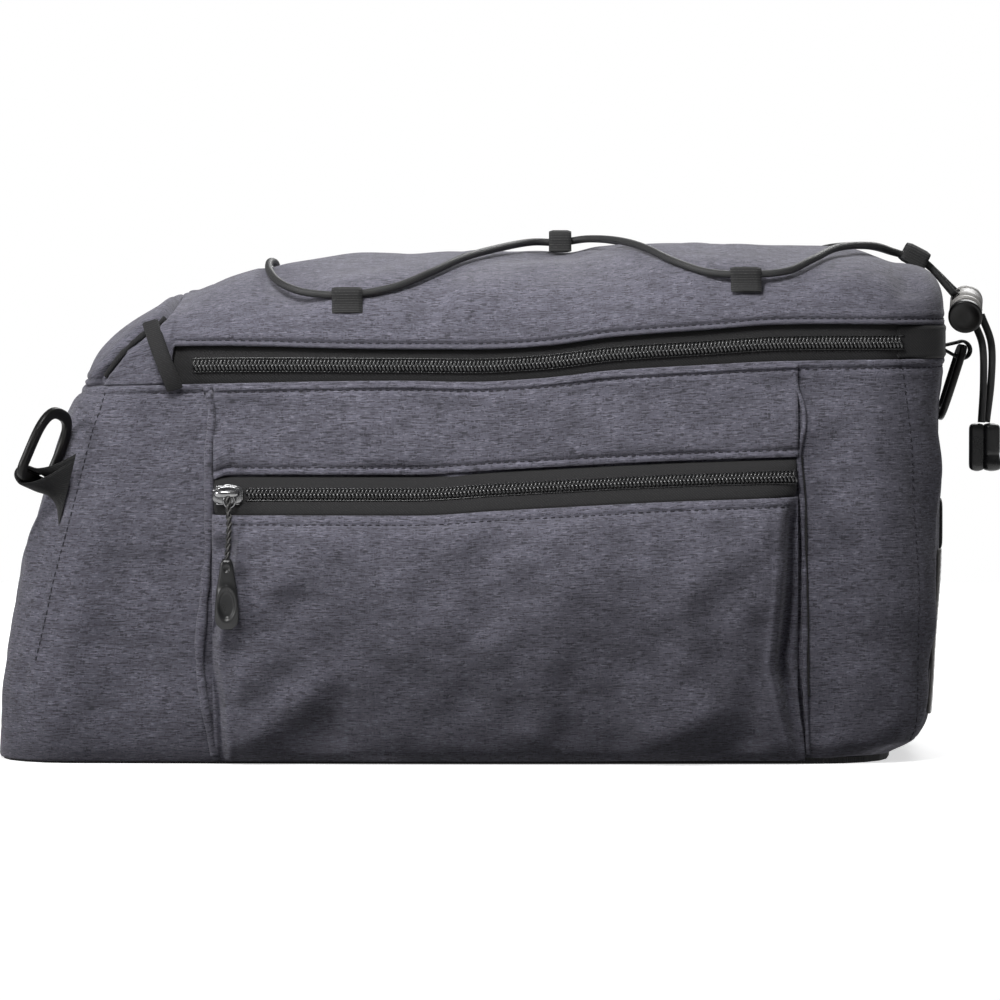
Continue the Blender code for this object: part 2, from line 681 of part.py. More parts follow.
def pocket_face(x, height):
    """How far the pocket's outer face is from the middle plane; height is a share of the pocket's."""
    share = (np.asarray(x) - POCKET_FRONT) / (POCKET_REAR - POCKET_FRONT)
    z = POCKET_FOOT + height * (pocket_rim(x) - POCKET_FOOT)
    swell = column(POCKET_SWELL, SWELL_COLUMNS, "depth", height)
    sides = column(POCKET_SIDES, SWELL_COLUMNS, "depth", share)
    return side_wall(x, z) + CLEARANCE + POCKET_WALL * 0.5 + POCKET_DEPTH * swell * sides


def make_pocket(side, label):
    """A hollow pocket, open towards the body, with its top edge below the zip."""
    shares = np.array([row[0] for row in POCKET_SIDES])
    shares = np.sort(np.concatenate([shares, [0.33, 0.67]]))
    heights = np.array([row[0] for row in POCKET_SWELL])
    heights = np.sort(np.concatenate([heights, [0.55]]))
    outer = np.zeros((len(heights), len(shares), 3))
    inner = np.zeros_like(outer)
    edge = POCKET_WALL / (POCKET_REAR - POCKET_FRONT)
    foot = POCKET_WALL / (POCKET_TOP - POCKET_FOOT)
    for row, height in enumerate(heights):
        x = POCKET_FRONT + shares * (POCKET_REAR - POCKET_FRONT)
        z = POCKET_FOOT + height * (pocket_rim(x) - POCKET_FOOT)
        outer[row] = np.column_stack([x, side * pocket_face(x, height), z])
        inside = np.clip(shares, edge * 1.2, 1.0 - edge * 1.2)
        x_in = POCKET_FRONT + inside * (POCKET_REAR - POCKET_FRONT)
        height_in = max(height, foot * 1.2)
        z_in = POCKET_FOOT + height_in * (pocket_rim(x_in) - POCKET_FOOT)
        wall = side_wall(x_in, z_in) + CLEARANCE
        thin = np.maximum(pocket_face(x_in, height) - POCKET_WALL, wall)
        edge_rows = (shares < 1e-6) | (shares > 1.0 - 1e-6)
        thin = np.where(edge_rows | (height < 1e-6), wall, thin)
        inner[row] = np.column_stack([x_in, side * thin, z_in])
    sheet_solid("pocket_" + label, outer, inner, "heather_fabric")


def make_upper_panel(side, label):
    """The flat panel between the pocket's zip and the lid's zip."""
    x = np.linspace(POCKET_FRONT, POCKET_REAR, 13)
    low = pocket_rim(x) + POCKET_OPENING
    high = rim_height(x) - PANEL_GAP
    outer = np.zeros((5, len(x), 3))
    inner = np.zeros_like(outer)
    for row, share in enumerate(np.linspace(0.0, 1.0, 5)):
        z = low + share * (high - low)
        wall = side_wall(x, z) + CLEARANCE
        outer[row] = np.column_stack([x, side * (wall + PANEL_WALL), z])
        inner[row] = np.column_stack([x, side * wall, z])
    sheet_solid("upper_panel_" + label, outer, inner, "heather_fabric")


def pocket_zip_face(x, share):
    """The pocket zip's tape face, from the pocket's rim (0) up to the upper panel (1)."""
    low = pocket_rim(x) + CLEARANCE
    high = pocket_rim(x) + POCKET_OPENING - CLEARANCE
    bottom = pocket_face(x, 1.0) - 0.5 * (POCKET_WALL - TAPE)
    top = side_wall(x, high) + CLEARANCE + 0.5 * (PANEL_WALL + TAPE)
    return bottom + share * (top - bottom), low + share * (high - low)


def close_ended(start, end, count):
    """Places from start to end that lie closer together towards both ends."""
    turn = np.linspace(0.0, math.pi, count)
    return 0.5 * (start + end) - 0.5 * (end - start) * np.cos(turn)


def make_pocket_zip(side, label):
    """The pocket's zip: its sloping tape, the coil on it and the slider at its front end."""
    x = close_ended(POCKET_FRONT + POCKET_TAPE_START, POCKET_REAR - POCKET_TAPE_END, 18)
    bottom, low = pocket_zip_face(x, 0.0)
    top, high = pocket_zip_face(x, 1.0)
    sections = np.stack([
        np.column_stack([x, side * bottom, low]),
        np.column_stack([x, side * top, high]),
        np.column_stack([x, side * (top - TAPE), high]),
        np.column_stack([x, side * (bottom - TAPE), low]),
    ], axis=1)
    swept("pocket_zip_tape_" + label, sections, "zip_tape")
    x = close_ended(POCKET_FRONT + POCKET_SLIDER + 2 * CLEARANCE, POCKET_REAR - POCKET_COIL_END, 18)
    bottom, low = pocket_zip_face(x, 0.0)
    top, high = pocket_zip_face(x, 1.0)
    lean = (top - bottom) / (high - low)
    face, middle = pocket_zip_face(x, 0.5)
    half = 0.5 * COIL_WIDTH
    profile = ((0.0, -half), (0.8 * COIL_HEIGHT, -0.7 * half), (COIL_HEIGHT, 0.0),
               (0.8 * COIL_HEIGHT, 0.7 * half), (0.0, half))
    rows = []
    for out, up in profile:
        rows.append(np.column_stack([x, side * (face + 2 * CLEARANCE + out + up * lean), middle + up]))
    swept("pocket_zip_coil_" + label, np.stack(rows, axis=1), "zip_coil", sharp=60.0)
    start = POCKET_FRONT + POCKET_SLIDER
    face, middle = pocket_zip_face(start, 0.5)
    face = face + CLEARANCE
    tab_edge = start - 0.5 * SLIDER_LENGTH + 0.5 * PULL_TAB_WIDTH
    rest = float(pocket_face(tab_edge, np.linspace(0.4, 0.9, 11)).max())
    make_slider("pocket_" + label, side, start, float(face), float(middle), rest)


def box_section(x, y, z, wide, tall):
    """A rounded rectangle of eight points in the plane across X."""
    cut = 0.28 * min(wide, tall)
    a, b = 0.5 * wide, 0.5 * tall
    ring = ((-a + cut, -b), (a - cut, -b), (a, -b + cut), (a, b - cut), (a - cut, b), (-a + cut, b),
            (-a, b - cut), (-a, -b + cut))
    return [(x, y + dy, z + dz) for dy, dz in ring]


def make_slider(label, side, x, face, z, rest):
    """A zip slider on its coil, with a thin pull cord and a moulded tab that hangs clear of rest."""
    back = face + COIL_HEIGHT * 0.35 + 2 * CLEARANCE
    middle = side * (back + 0.5 * SLIDER_HEIGHT)
    sections = []
    for place, share in SLIDER_ROWS:
        sections.append(box_section(x + place * SLIDER_LENGTH - 0.5 * SLIDER_LENGTH, middle, z,
                                    SLIDER_HEIGHT, share * SLIDER_WIDTH))
    swept(label + "_slider", sections, "slider_metal")
    out = side * (back + SLIDER_HEIGHT + CLEARANCE + 0.5 * PULL_CORD)
    x_pull = x - 0.5 * SLIDER_LENGTH
    top = np.array([x_pull, out, z])
    hang = max(abs(out), rest + 0.5 * PULL_TAB_THICKNESS + 2 * CLEARANCE)
    knot = np.array([x_pull, side * hang, z - PULL_DROP])
    route = (top, 0.6 * top + 0.4 * knot + (0.0008, side * 0.0014, 0.0), knot)
    cord(label + "_pull_cord", smooth_line(route, 5), PULL_CORD, "elastic_cord")
    head = knot + (0.0, 0.0, -CLEARANCE)
    sections = []
    for along, wide, thick in PULL_TAB_ROWS:
        a = 0.5 * wide * PULL_TAB_WIDTH
        b = 0.5 * thick * PULL_TAB_THICKNESS
        ring = ((-a, -0.5 * b), (-0.8 * a, -b), (0.8 * a, -b), (a, -0.5 * b), (a, 0.5 * b),
                (0.8 * a, b), (-0.8 * a, b), (-a, 0.5 * b))
        sections.append([head + (dx, dy, -along * PULL_TAB_LENGTH) for dx, dy in ring])
    swept(label + "_pull_tab", sections, "black_plastic")


def make_lid_slider():
    """The lid zip's slider, run to the front end of the far side."""
    x = ZIP_START + LID_SLIDER
    z = 0.5 * (rim_height(x) + lid_rim_height(x))
    face = side_wall(x, rim_height(x)) - EDGE_WALL - CLEARANCE + COIL_HEIGHT
    rest = float(side_wall(x, rim_height(x)))
    make_slider("lid", 1.0, x, float(face), float(z), rest)


def make_lid_loop(x, side, stage, label):
    """A webbing loop sewn on the lid at its top and bottom edges, arched over the cord."""
    rows = np.array(CORD_ROUTE)
    across = side * float(np.interp(stage, rows[:, 0], rows[:, ROUTE_COLUMNS.index("across")]))
    centre, normal = on_lid(x, across)
    up = unit(np.cross(normal, (1.0, 0.0, 0.0)))
    up = up if up[2] > 0.0 else -up
    path = []
    for out, lift in LID_LOOP_ARCH:
        shift = 0.5 * out * LOOP_LENGTH
        rise = CLEARANCE + 0.5 * WEBBING + lift * (CORD + LOOP_ROOM)
        path.append(centre + up * shift + normal * (rise - curve_drop(x, across, shift)))
    strap("lid_loop_" + label, path, (LOOP_WIDTH, 0.0, 0.0), WEBBING, "webbing")


def curve_drop(x, across, shift):
    """How far the lid's surface falls below its tangent plane after a shift up or down the slope."""
    centre, normal = on_lid(x, across)
    up = unit(np.cross(normal, (1.0, 0.0, 0.0)))
    up = up if up[2] > 0.0 else -up
    best = 0.0
    nearest = 1.0
    for share in np.linspace(-1.0, 1.0, 401):
        point, _ = on_lid(x, share)
        offset = point - centre
        miss = abs(float(offset @ up) - shift)
        if miss < nearest and np.sign(share) == np.sign(across):
            nearest = miss
            best = -float(offset @ normal)
    return best


def make_centre_loop():
    """A folded webbing loop standing on the crown, with both runs of the cord inside it."""
    x = CENTRE_LOOP_X
    edges = (x - 0.5 * CENTRE_LOOP_WIDTH, x, x + 0.5 * CENTRE_LOOP_WIDTH)
    base = np.array([x, 0.0, float(crown_height(np.array(edges)).max())])
    half = CORD + CENTRE_LOOP_ROOM
    height = CORD + CENTRE_LOOP_LIFT + 0.5 * WEBBING
    path = []
    for out, rise in CENTRE_LOOP_ARCH:
        path.append(base + (0.0, half * out, CLEARANCE + 0.5 * WEBBING + rise * height))
    strap("centre_loop", path, (CENTRE_LOOP_WIDTH, 0.0, 0.0), WEBBING, "webbing")


def make_tail_loop():
    """A webbing loop over the rear edge of the crown, through which both ends of the cord leave."""
    x = TAIL_LOOP_X
    centre, normal = on_lid(x, 0.0)
    ahead, _ = on_lid(x + 0.004, 0.0)
    behind, _ = on_lid(x - 0.004, 0.0)
    along = unit(ahead - behind)
    half = CORD + TAIL_LOOP_ROOM
    height = CORD + TAIL_LOOP_LIFT + 0.5 * WEBBING
    path = []
    for out, rise in TAIL_LOOP_ARCH:
        path.append(centre + (0.0, out * half, 0.0) + normal * (CLEARANCE + 0.6 * WEBBING + rise * height))
    strap("tail_loop", path, along * TAIL_LOOP_WIDTH, WEBBING, "webbing")


def lacing_points():
    """The cord's whole run over the lid: from the lock forwards, round the front bend and back."""
    places = (CORD_LEAD_X, TAIL_LOOP_X, REAR_LOOP_X, CENTRE_LOOP_X, FRONT_LOOP_X, CORD_BEND_X)
    near = []
    for stage, across, lift in CORD_ROUTE:
        x = float(np.interp(stage, range(-1, 5), places))
        point, normal = on_lid(x, -across)
        near.append(point + normal * (lift + 0.5 * CORD + CLEARANCE))
    near = np.array(near)
    far = near[::-1] * (1.0, -1.0, 1.0)
    entry = lock_entry()
    return np.concatenate([[entry[0]], near, far, [entry[1]]])


def beside_lock(towards, along):
    """A point just off the lock's barrel on the side that towards names, and so far along its axis."""
    axis = unit(LOCK_AXIS)
    out = unit(np.asarray(towards) - np.dot(towards, axis) * axis)
    return np.asarray(LOCK_CENTRE) + out * (LOCK_RADIUS + 3 * CLEARANCE) + axis * along


def lock_entry():
    """Where the two runs of the cord meet the top of the lock's barrel."""
    return beside_lock(CORD_ENTRY, LOCK_PITCH), beside_lock(CORD_ENTRY, -LOCK_PITCH)


def make_cord():
    cord("elastic_cord", smooth_line(lacing_points(), CORD_STEPS), CORD, "elastic_cord")
    pairs = zip(TAIL_ROUTES, CORD_EXITS, (LOCK_PITCH, -LOCK_PITCH))
    for number, (route, way, along) in enumerate(pairs, 1):
        points = (beside_lock(way, along), *route)
        cord("cord_tail_%d" % number, smooth_line(points, TAIL_STEPS), CORD, "elastic_cord")


def make_lock():
    """A spring cord lock: a barrel bored from its near end and a button whose stem slides in it."""
    half = 0.5 * LOCK_LENGTH
    bore = STEM_RADIUS + 0.0004
    floor = half - STEM_LENGTH - CLEARANCE
    barrel = ((-half, 0.0), (-half, LOCK_RADIUS - 0.001), (0.001 - half, LOCK_RADIUS),
              (half - 0.0005, LOCK_RADIUS), (half, LOCK_RADIUS - 0.0005), (half, bore), (floor, bore), (floor, 0.0))
    turned("cord_lock_barrel", barrel, LOCK_CENTRE, LOCK_AXIS, "grey_plastic")
    face = half + BUTTON_TRAVEL + CLEARANCE
    root = face - STEM_LENGTH
    button = ((root, 0.0), (root, STEM_RADIUS), (face, STEM_RADIUS), (face, BUTTON_RADIUS - 0.0004),
              (face + 0.0004, BUTTON_RADIUS), (face + BUTTON_THICKNESS - 0.0008, BUTTON_RADIUS),
              (face + BUTTON_THICKNESS, BUTTON_RADIUS - 0.0008), (face + BUTTON_THICKNESS, 0.0))
    turned("cord_lock_button", button, LOCK_CENTRE, LOCK_AXIS, "black_plastic")


def make_cord_end():
    """The moulded end that grips both tails, wider and rounded at its foot."""
    top = 0.5 * (np.array(TAIL_ROUTES[0][-1]) + np.array(TAIL_ROUTES[1][-1])) - (0.0, 0.0, CLEARANCE)
    sections = []
    for along, wide, deep in CORD_END_ROWS:
        a = 0.5 * wide * CORD_END_WIDTH
        b = 0.5 * deep * CORD_END_DEPTH
        cut = 0.25 * b
        ring = ((-a, -b + cut), (-a + cut, -b), (a - cut, -b), (a, -b + cut), (a, b - cut),
                (a - cut, b), (-a + cut, b), (-a, b - cut))
        sections.append([top + (dx, dy, -along * CORD_END_LENGTH) for dx, dy in ring])
    swept("cord_end", sections, "black_plastic")


def make_ring(name, centre, across, up):
    """A flat plastic D-ring: its straight bar at centre, along across, and its bow towards up."""
    across, up = unit(across), unit(up)
    normal = np.cross(across, up)
    half = 0.5 * (RING_WIDTH - RING_BAR)
    tall = RING_LENGTH - RING_BAR
    bow = np.linspace(0.0, math.pi, 9)
    path = [(-half, 0.0), (-0.4 * half, 0.0), (0.4 * half, 0.0), (half, 0.0)]
    path += [(half * math.cos(turn), 0.45 * tall + 0.55 * tall * math.sin(turn)) for turn in bow]
    path = np.array(path)
    run = np.roll(path, -1, axis=0) - np.roll(path, 1, axis=0)
    run = run / np.linalg.norm(run, axis=1)[:, None]
    side = np.column_stack([run[:, 1], -run[:, 0]])
    a, b = 0.5 * RING_BAR, 0.5 * RING_THICKNESS
    sections = []
    for place, out in zip(path, side):
        ring = []
        for width_step, thick_step in ((-a, -0.6 * b), (-0.6 * a, -b), (0.6 * a, -b), (a, -0.6 * b),
                                       (a, 0.6 * b), (0.6 * a, b), (-0.6 * a, b), (-a, 0.6 * b)):
            flat = place + out * width_step
            ring.append(centre + across * flat[0] + up * flat[1] + normal * thick_step)
        sections.append(ring)
    swept(name, sections, "black_plastic", closed=True)


def folded_tab(name, seat, bar, across_seat, across_bar, spread):
    """Webbing sewn down at its seat, folded round a ring's bar: out along one side and back."""
    out = unit(bar - seat)
    across_bar = np.asarray(across_bar, float)
    lift = unit(np.cross(across_bar, out))
    radius = 0.5 * RING_BAR + CLEARANCE + 0.5 * WEBBING + RING_ROOM
    reach = float(np.linalg.norm(bar - seat))
    path, widths = [], []
    for share in (0.0, 0.35, 0.7):
        level = spread + (radius - spread) * share
        path.append(seat + out * reach * share + lift * level)
        widths.append((1.0 - share) ** 2 * np.asarray(across_seat) + (1.0 - (1.0 - share) ** 2) * across_bar)
    for turn in np.linspace(0.5 * math.pi, -0.5 * math.pi, 7):
        path.append(bar + out * radius * math.cos(turn) + lift * radius * math.sin(turn))
        widths.append(across_bar)
    for share in (0.7, 0.35, 0.0):
        level = spread + (radius - spread) * share
        path.append(seat + out * reach * share - lift * level)
        widths.append((1.0 - share) ** 2 * np.asarray(across_seat) + (1.0 - (1.0 - share) ** 2) * across_bar)
    strap(name, path, widths, WEBBING, "webbing", sharp=60.0)


def make_front_ring():
    """The front ring on its webbing tab, sewn into the near front corner."""
    height = FRONT_RING_HEIGHT / float(rim_height(-0.5 * LENGTH))
    plan = outline(height)
    corner = plan[len(plan) - 2]
    before = plan[len(plan) - 3]
    out_plan = unit([corner[1] - before[1], before[0] - corner[0]])
    out = np.array([*out_plan, 0.0])
    seat = np.array([*corner, FRONT_RING_HEIGHT]) + out * (FRONT_RING_LIFT + WEBBING)
    bar = seat + unit(FRONT_RING_FORWARD) * FRONT_RING_REACH
    across = unit(FRONT_RING_ACROSS) * (RING_WIDTH - 3.2 * RING_BAR)
    up = np.asarray(FRONT_RING_UP)
    up = up - np.dot(up, unit(across)) * unit(across)
    make_ring("front_ring", bar, across, up)
    folded_tab("front_ring_tab", seat, bar, (0.006, 0.0, 0.6 * TAB_WIDTH), across, 0.5 * WEBBING + CLEARANCE)


def make_rear_ring():
    """The rear ring hanging from a short tab on the band at the rear end of the zip."""
    rear = float(outline(1.0, -REAR_BAND_PROUD)[:, 0].max())
    z = 0.5 * float(rim_height(rear) + lid_rim_height(rear)) - REAR_RING_DROP
    seat = np.array([rear + CLEARANCE + 0.0002, 0.0, z])
    bar = seat + (REAR_RING_REACH, 0.0, -0.001)
    make_ring("rear_ring", bar, (0.0, -1.0, 0.0), REAR_RING_DOWN)
    folded_tab("rear_ring_tab", seat, bar, (0.0, -REAR_TAB_WIDTH, 0.0), (0.0, -REAR_TAB_WIDTH, 0.0),
               0.5 * WEBBING + CLEARANCE)


def rear_face(z):
    """X of the body's rear end, half way across."""
    return float(body_ends(z / float(rim_height(0.5 * LENGTH)))[1])


def make_rear_strip():
    """The two reflective strips sewn down the rear end, and the light loop above them."""
    def face(y, z, lift):
        height = z / float(rim_height(0.5 * LENGTH))
        hy = float(half_width(height)) - SIDE_BOW
        return rear_face(z) - END_BOW * (y / hy) ** 2 + lift
    half = 0.5 * STRIP_WIDTH
    low, high = STRIP_LIFT, STRIP_LIFT + STRIP_THICKNESS
    for place, label in ((-STRIP_PLACE, "near"), (STRIP_PLACE, "far")):
        sections = []
        for z in np.linspace(STRIP_FOOT, STRIP_TOP, 9):
            ring = ((-half, low), (0.0, low), (half, low), (half, high), (0.0, high), (-half, high))
            sections.append([(face(place + y, z, lift), place + y, z) for y, lift in ring])
        swept("reflective_strip_" + label, sections, "reflective_strip")
    path = []
    for out, rise in LIGHT_LOOP_ARCH:
        y = 0.5 * out * LIGHT_LOOP_SPAN
        x = face(y, LIGHT_LOOP_HEIGHT, 2 * CLEARANCE + 0.5 * WEBBING + rise * LIGHT_LOOP_RISE)
        path.append((x, y, LIGHT_LOOP_HEIGHT))
    strap("light_loop", path, (0.0, 0.0, LIGHT_LOOP_WIDTH), WEBBING, "webbing")


def clear_scene():
    for old in list(bpy.data.objects):
        bpy.data.objects.remove(old, do_unlink=True)


def build():
    clear_scene()
    make_base()
    make_body()
    make_lid()
    make_lid_zip()
    for side, label in ((-1.0, "near"), (1.0, "far")):
        make_pocket(side, label)
        make_upper_panel(side, label)
        make_pocket_zip(side, label)
        make_lid_loop(FRONT_LOOP_X, side, 3.0, "front_" + label)
        make_lid_loop(REAR_LOOP_X, side, 1.0, "rear_" + label)
    make_lid_slider()
    make_centre_loop()
    make_tail_loop()
    make_cord()
    make_lock()
    make_cord_end()
    make_front_ring()
    make_rear_ring()
    make_rear_strip()


build()
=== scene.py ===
# %% [markdown]
# # A bicycle rack bag, piece by piece
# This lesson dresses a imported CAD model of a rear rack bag: padded fabric walls, a zipped lid, side pockets
# and an elastic cord laced over the top. Every surface is a grid of points worked out with numpy, because a
# sewn bag is a few smooth panels, and a formula keeps each seam, zip and cord on the panel that carries it.

# %% Load the frame
import math

import bmesh
import bpy
import numpy as np
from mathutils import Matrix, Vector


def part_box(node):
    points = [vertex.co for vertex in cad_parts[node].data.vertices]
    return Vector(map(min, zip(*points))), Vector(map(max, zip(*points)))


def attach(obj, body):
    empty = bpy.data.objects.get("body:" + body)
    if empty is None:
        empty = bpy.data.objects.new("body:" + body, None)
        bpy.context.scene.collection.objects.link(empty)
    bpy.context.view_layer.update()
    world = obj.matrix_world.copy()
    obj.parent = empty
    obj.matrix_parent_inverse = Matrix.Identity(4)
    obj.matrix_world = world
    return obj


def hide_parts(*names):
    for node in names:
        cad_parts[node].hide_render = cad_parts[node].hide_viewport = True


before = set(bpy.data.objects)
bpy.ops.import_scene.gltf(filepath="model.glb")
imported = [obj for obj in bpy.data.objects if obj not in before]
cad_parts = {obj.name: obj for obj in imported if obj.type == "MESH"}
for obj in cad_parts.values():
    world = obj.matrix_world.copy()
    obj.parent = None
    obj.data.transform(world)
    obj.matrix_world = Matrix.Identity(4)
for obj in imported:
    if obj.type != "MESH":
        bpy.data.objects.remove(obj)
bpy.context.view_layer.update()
NEAR_AND_FAR = ((-1, "near"), (1, "far"))

# %% [markdown]
# ## Camera
# The bag is seen square on from its side, with a long lens and from a little above. One pixel at its middle
# plane covers 0.405 mm and one at the near side 0.389 mm, and the ratio of the two gives the distance.

# %% Camera
VIEW_WIDTH = 0.405
DISTANCE = 2.336
ELEVATION = math.radians(2.35)
AIM = (0.0117, 0.0, 0.1007)
NEAR_PIXEL = 0.0003894

camera = bpy.data.objects.new("camera", bpy.data.cameras.new("camera"))
bpy.context.collection.objects.link(camera)
camera.data.sensor_width = 36.0
camera.data.lens = 36.0 * DISTANCE / VIEW_WIDTH
camera.data.clip_end = 50.0
camera.location = (AIM[0], -DISTANCE * math.cos(ELEVATION), AIM[2] + DISTANCE * math.sin(ELEVATION))
camera.rotation_euler = (0.5 * math.pi - ELEVATION, 0.0, 0.0)
bpy.context.scene.camera = camera
bpy.context.scene.view_settings.view_transform = "Standard"
print("lens", round(camera.data.lens, 1), "mm")


def near(*spots):
    """Places on the near side, (x, z) in metres, from places in the photograph's frame."""
    spots = np.array(spots, float)
    return np.column_stack([AIM[0] + (spots[:, 0] - 500.0) * NEAR_PIXEL,
                            0.1044 + (500.0 - spots[:, 1]) * NEAR_PIXEL])


# %% [markdown]
# ## The bag's shape
# A sewn bag is drawn by its patterns: an outline seen from above, and curves that say how the ends, the rim
# and the crown run. Short tables hold shares of the main sizes, and a smooth curve is read through them.
# Straight runs between the rows would show as creases, so the curve is a cubic that never overshoots.

# %% Sizes and tables
LENGTH, WIDTH, LID_TOP = 0.380, 0.170, 0.2044
ZIP_HEIGHT, ZIP_OPENING, ZIP_START, RAMP = 0.150, 0.0135, -0.113, 0.005
CORNER_RADIUS, END_BOW, SIDE_BOW, FRONT_TAPER = 0.024, 0.008, 0.002, 0.05
WALL, EDGE_WALL, CLEARANCE = 0.003, 0.0012, 0.0003
POCKET_FRONT, POCKET_REAR, POCKET_TOP, POCKET_FOOT = -0.103, 0.128, 0.100, 0.0016
POCKET_DEPTH, POCKET_WALL, POCKET_OPENING = 0.018, 0.002, 0.0155
PANEL_WALL, PANEL_GAP, TAPE, CORD = 0.0014, 0.0012, 0.0008, 0.003
SPINE_FRONT, SPINE_REAR = 0.224, 0.934
LID_STEP_START, LID_STEP = 0.0048, 0.0020
WALL_HEM, LID_HEM, POCKET_HEM, PANEL_HEM = 0.0031, 0.0022, 0.0035, 0.0028
CORNER_COLUMNS, WALL_END, LID_END, RIM_SIDE, RIM_END = 26, 78, 66, 320, 60

BODY = np.array((  # height, front inset, rear inset, half width
    (0.00, 0.000, 0.053, 0.900), (0.04, 0.001, 0.024, 0.935), (0.10, 0.003, 0.016, 0.960),
    (0.30, 0.011, 0.011, 0.990), (0.50, 0.026, 0.006, 1.000), (0.68, 0.045, 0.0055, 1.000),
    (0.86, 0.067, 0.0055, 0.985), (0.94, 0.077, 0.0030, 0.970), (1.00, 0.093, 0.0000, 0.966)))
RIM = np.array((  # place along the bag, rim, zip opening
    (0.00, 0.980, 1.10), (0.20, 0.993, 1.10), (0.43, 1.003, 0.90), (0.50, 1.000, 0.93), (0.57, 1.009, 0.91),
    (0.65, 1.031, 0.95), (0.74, 1.044, 1.00), (0.82, 1.054, 1.05), (1.00, 1.060, 0.97)))
CROWN = np.array((  # place along the bag, crown
    (0.000, 0.905), (0.205, 0.905), (0.224, 0.917), (0.252, 0.938), (0.287, 0.956), (0.352, 0.971),
    (0.424, 0.980), (0.553, 0.982), (0.595, 0.979), (0.637, 0.993), (0.679, 1.000), (0.790, 1.000),
    (0.850, 0.994), (0.895, 0.988), (0.926, 0.976), (0.950, 0.963), (1.000, 0.959)))
SWELL = np.array((  # height on the pocket, how far out
    (0.00, 0.06), (0.03, 0.17), (0.10, 0.30), (0.25, 0.51), (0.45, 0.74), (0.62, 0.90), (0.76, 1.00),
    (0.89, 0.92), (1.00, 0.58)))
SIDES = np.array((  # place across the pocket, how far out
    (0.00, 0.06), (0.02, 0.55), (0.06, 0.84), (0.16, 0.96), (0.50, 1.00), (0.84, 0.96), (0.94, 0.84),
    (0.98, 0.55), (1.00, 0.06)))
POCKET_RIM = np.array(((0.00, 0.985), (0.35, 0.985), (0.50, 1.005), (0.80, 1.040), (1.00, 1.055)))


def read(table, at, number=1):
    """A table's column along a cubic curve; a row's slope is the harmonic mean of the two beside it."""
    x, y = table[:, 0], table[:, number]
    gap = np.diff(x)
    slope = np.diff(y) / gap
    before, after = slope[:-1], slope[1:]
    total = before + after
    inner = np.where(before * after > 0.0, 2.0 * before * after / np.where(total == 0.0, 1.0, total), 0.0)
    tangent = np.concatenate([slope[:1], inner, slope[-1:]])
    at = np.clip(at, x[0], x[-1])
    i = np.clip(np.searchsorted(x, at, side="right") - 1, 0, len(x) - 2)
    u = (at - x[i]) / gap[i]
    return ((2 * u**3 - 3 * u**2 + 1) * y[i] + (u**3 - 2 * u**2 + u) * gap[i] * tangent[i]
            + (3 * u**2 - 2 * u**3) * y[i + 1] + (u**3 - u**2) * gap[i] * tangent[i + 1])


def along(x):
    return np.asarray(x) / LENGTH + 0.5


def rim_height(x):
    return ZIP_HEIGHT * read(RIM, along(x))


def zip_opening(x):
    return ZIP_OPENING * read(RIM, along(x), 2)


def body_ends(height):
    """X of the body's front and rear half way across, at a share of its height."""
    return LENGTH * (read(BODY, height) - 0.5), LENGTH * (0.5 - read(BODY, height, 2))


def dome_base(x):
    """Where the lid begins to curve inwards: level with the zip, and down at the rim at the front."""
    front, ridge = body_ends(1.0)[0], LENGTH * (SPINE_FRONT - 0.5)
    to_front = np.clip((ridge - np.asarray(x)) / (ridge - front), 0.0, 1.0) ** 2
    return rim_height(x) + CLEARANCE + zip_opening(x) * (1.0 - to_front)


def lid_rim(x):
    """The lid's lower edge: sewn to the wall at the front, and above the zip from its start on."""
    ramp = np.clip((np.asarray(x) - ZIP_START + LID_STEP_START) / LID_STEP, 0.0, 1.0)
    return rim_height(x) + CLEARANCE + ramp * zip_opening(x)


def crown(x):
    return LID_TOP * read(CROWN, along(x))


def side_wall(x, z):
    """How far the straight side is from the middle plane."""
    height = np.asarray(z) / rim_height(x)
    front, rear = body_ends(height)
    hx = 0.5 * (rear - front) - END_BOW
    place = (np.asarray(x) - 0.5 * (front + rear)) / hx
    wide = 0.5 * WIDTH * read(BODY, height, 3) - SIDE_BOW * np.clip(place, -1.0, 1.0) ** 2
    return wide * (1.0 + FRONT_TAPER * np.minimum(x, 0.0) / (0.5 * LENGTH))


print("rim at mid length", round(float(rim_height(0.0)), 4), "crown", round(float(crown(0.0)), 4))

# %% [markdown]
# ## Grids
# One helper turns a grid of points into quads and stores a UV map in metres, so that a weave keeps its true
# scale on every panel. Another gives the grid's own normals. Moving its points along them presses seams,
# folds and rolled edges into a smooth panel: the amount is a height map, the same idea as sculpting.

# %% Grid helpers
def grid_part(points, uv=None, wrap=False, turn=False):
    """Quads of a grid whose rows run upwards; wrap joins the last column to the first. UVs are lengths."""
    rows, columns = points.shape[:2]
    if uv is None:
        closed = np.concatenate([points, points[:, :1]], axis=1) if wrap else points
        step_u = np.linalg.norm(np.diff(closed, axis=1), axis=2).mean(0)
        step_v = np.linalg.norm(np.diff(points, axis=0), axis=2).max(1)
        u = np.concatenate([[0.0], np.cumsum(step_u)])
        v = np.concatenate([[0.0], np.cumsum(step_v)])
        uv = np.stack(np.meshgrid(u, v), axis=2)
    i, j = np.meshgrid(np.arange(rows - 1), np.arange(columns if wrap else columns - 1), indexing="ij")
    i, j = i.ravel(), j.ravel()
    order = ((0, 0), (1, 0), (1, 1), (0, 1)) if turn else ((0, 0), (0, 1), (1, 1), (1, 0))
    quads = np.stack([(i + a) * columns + (j + b) % columns for a, b in order], axis=1)
    corners = np.stack([uv[i + a, j + b] for a, b in order], axis=1)
    return points.reshape(-1, 3), quads, corners


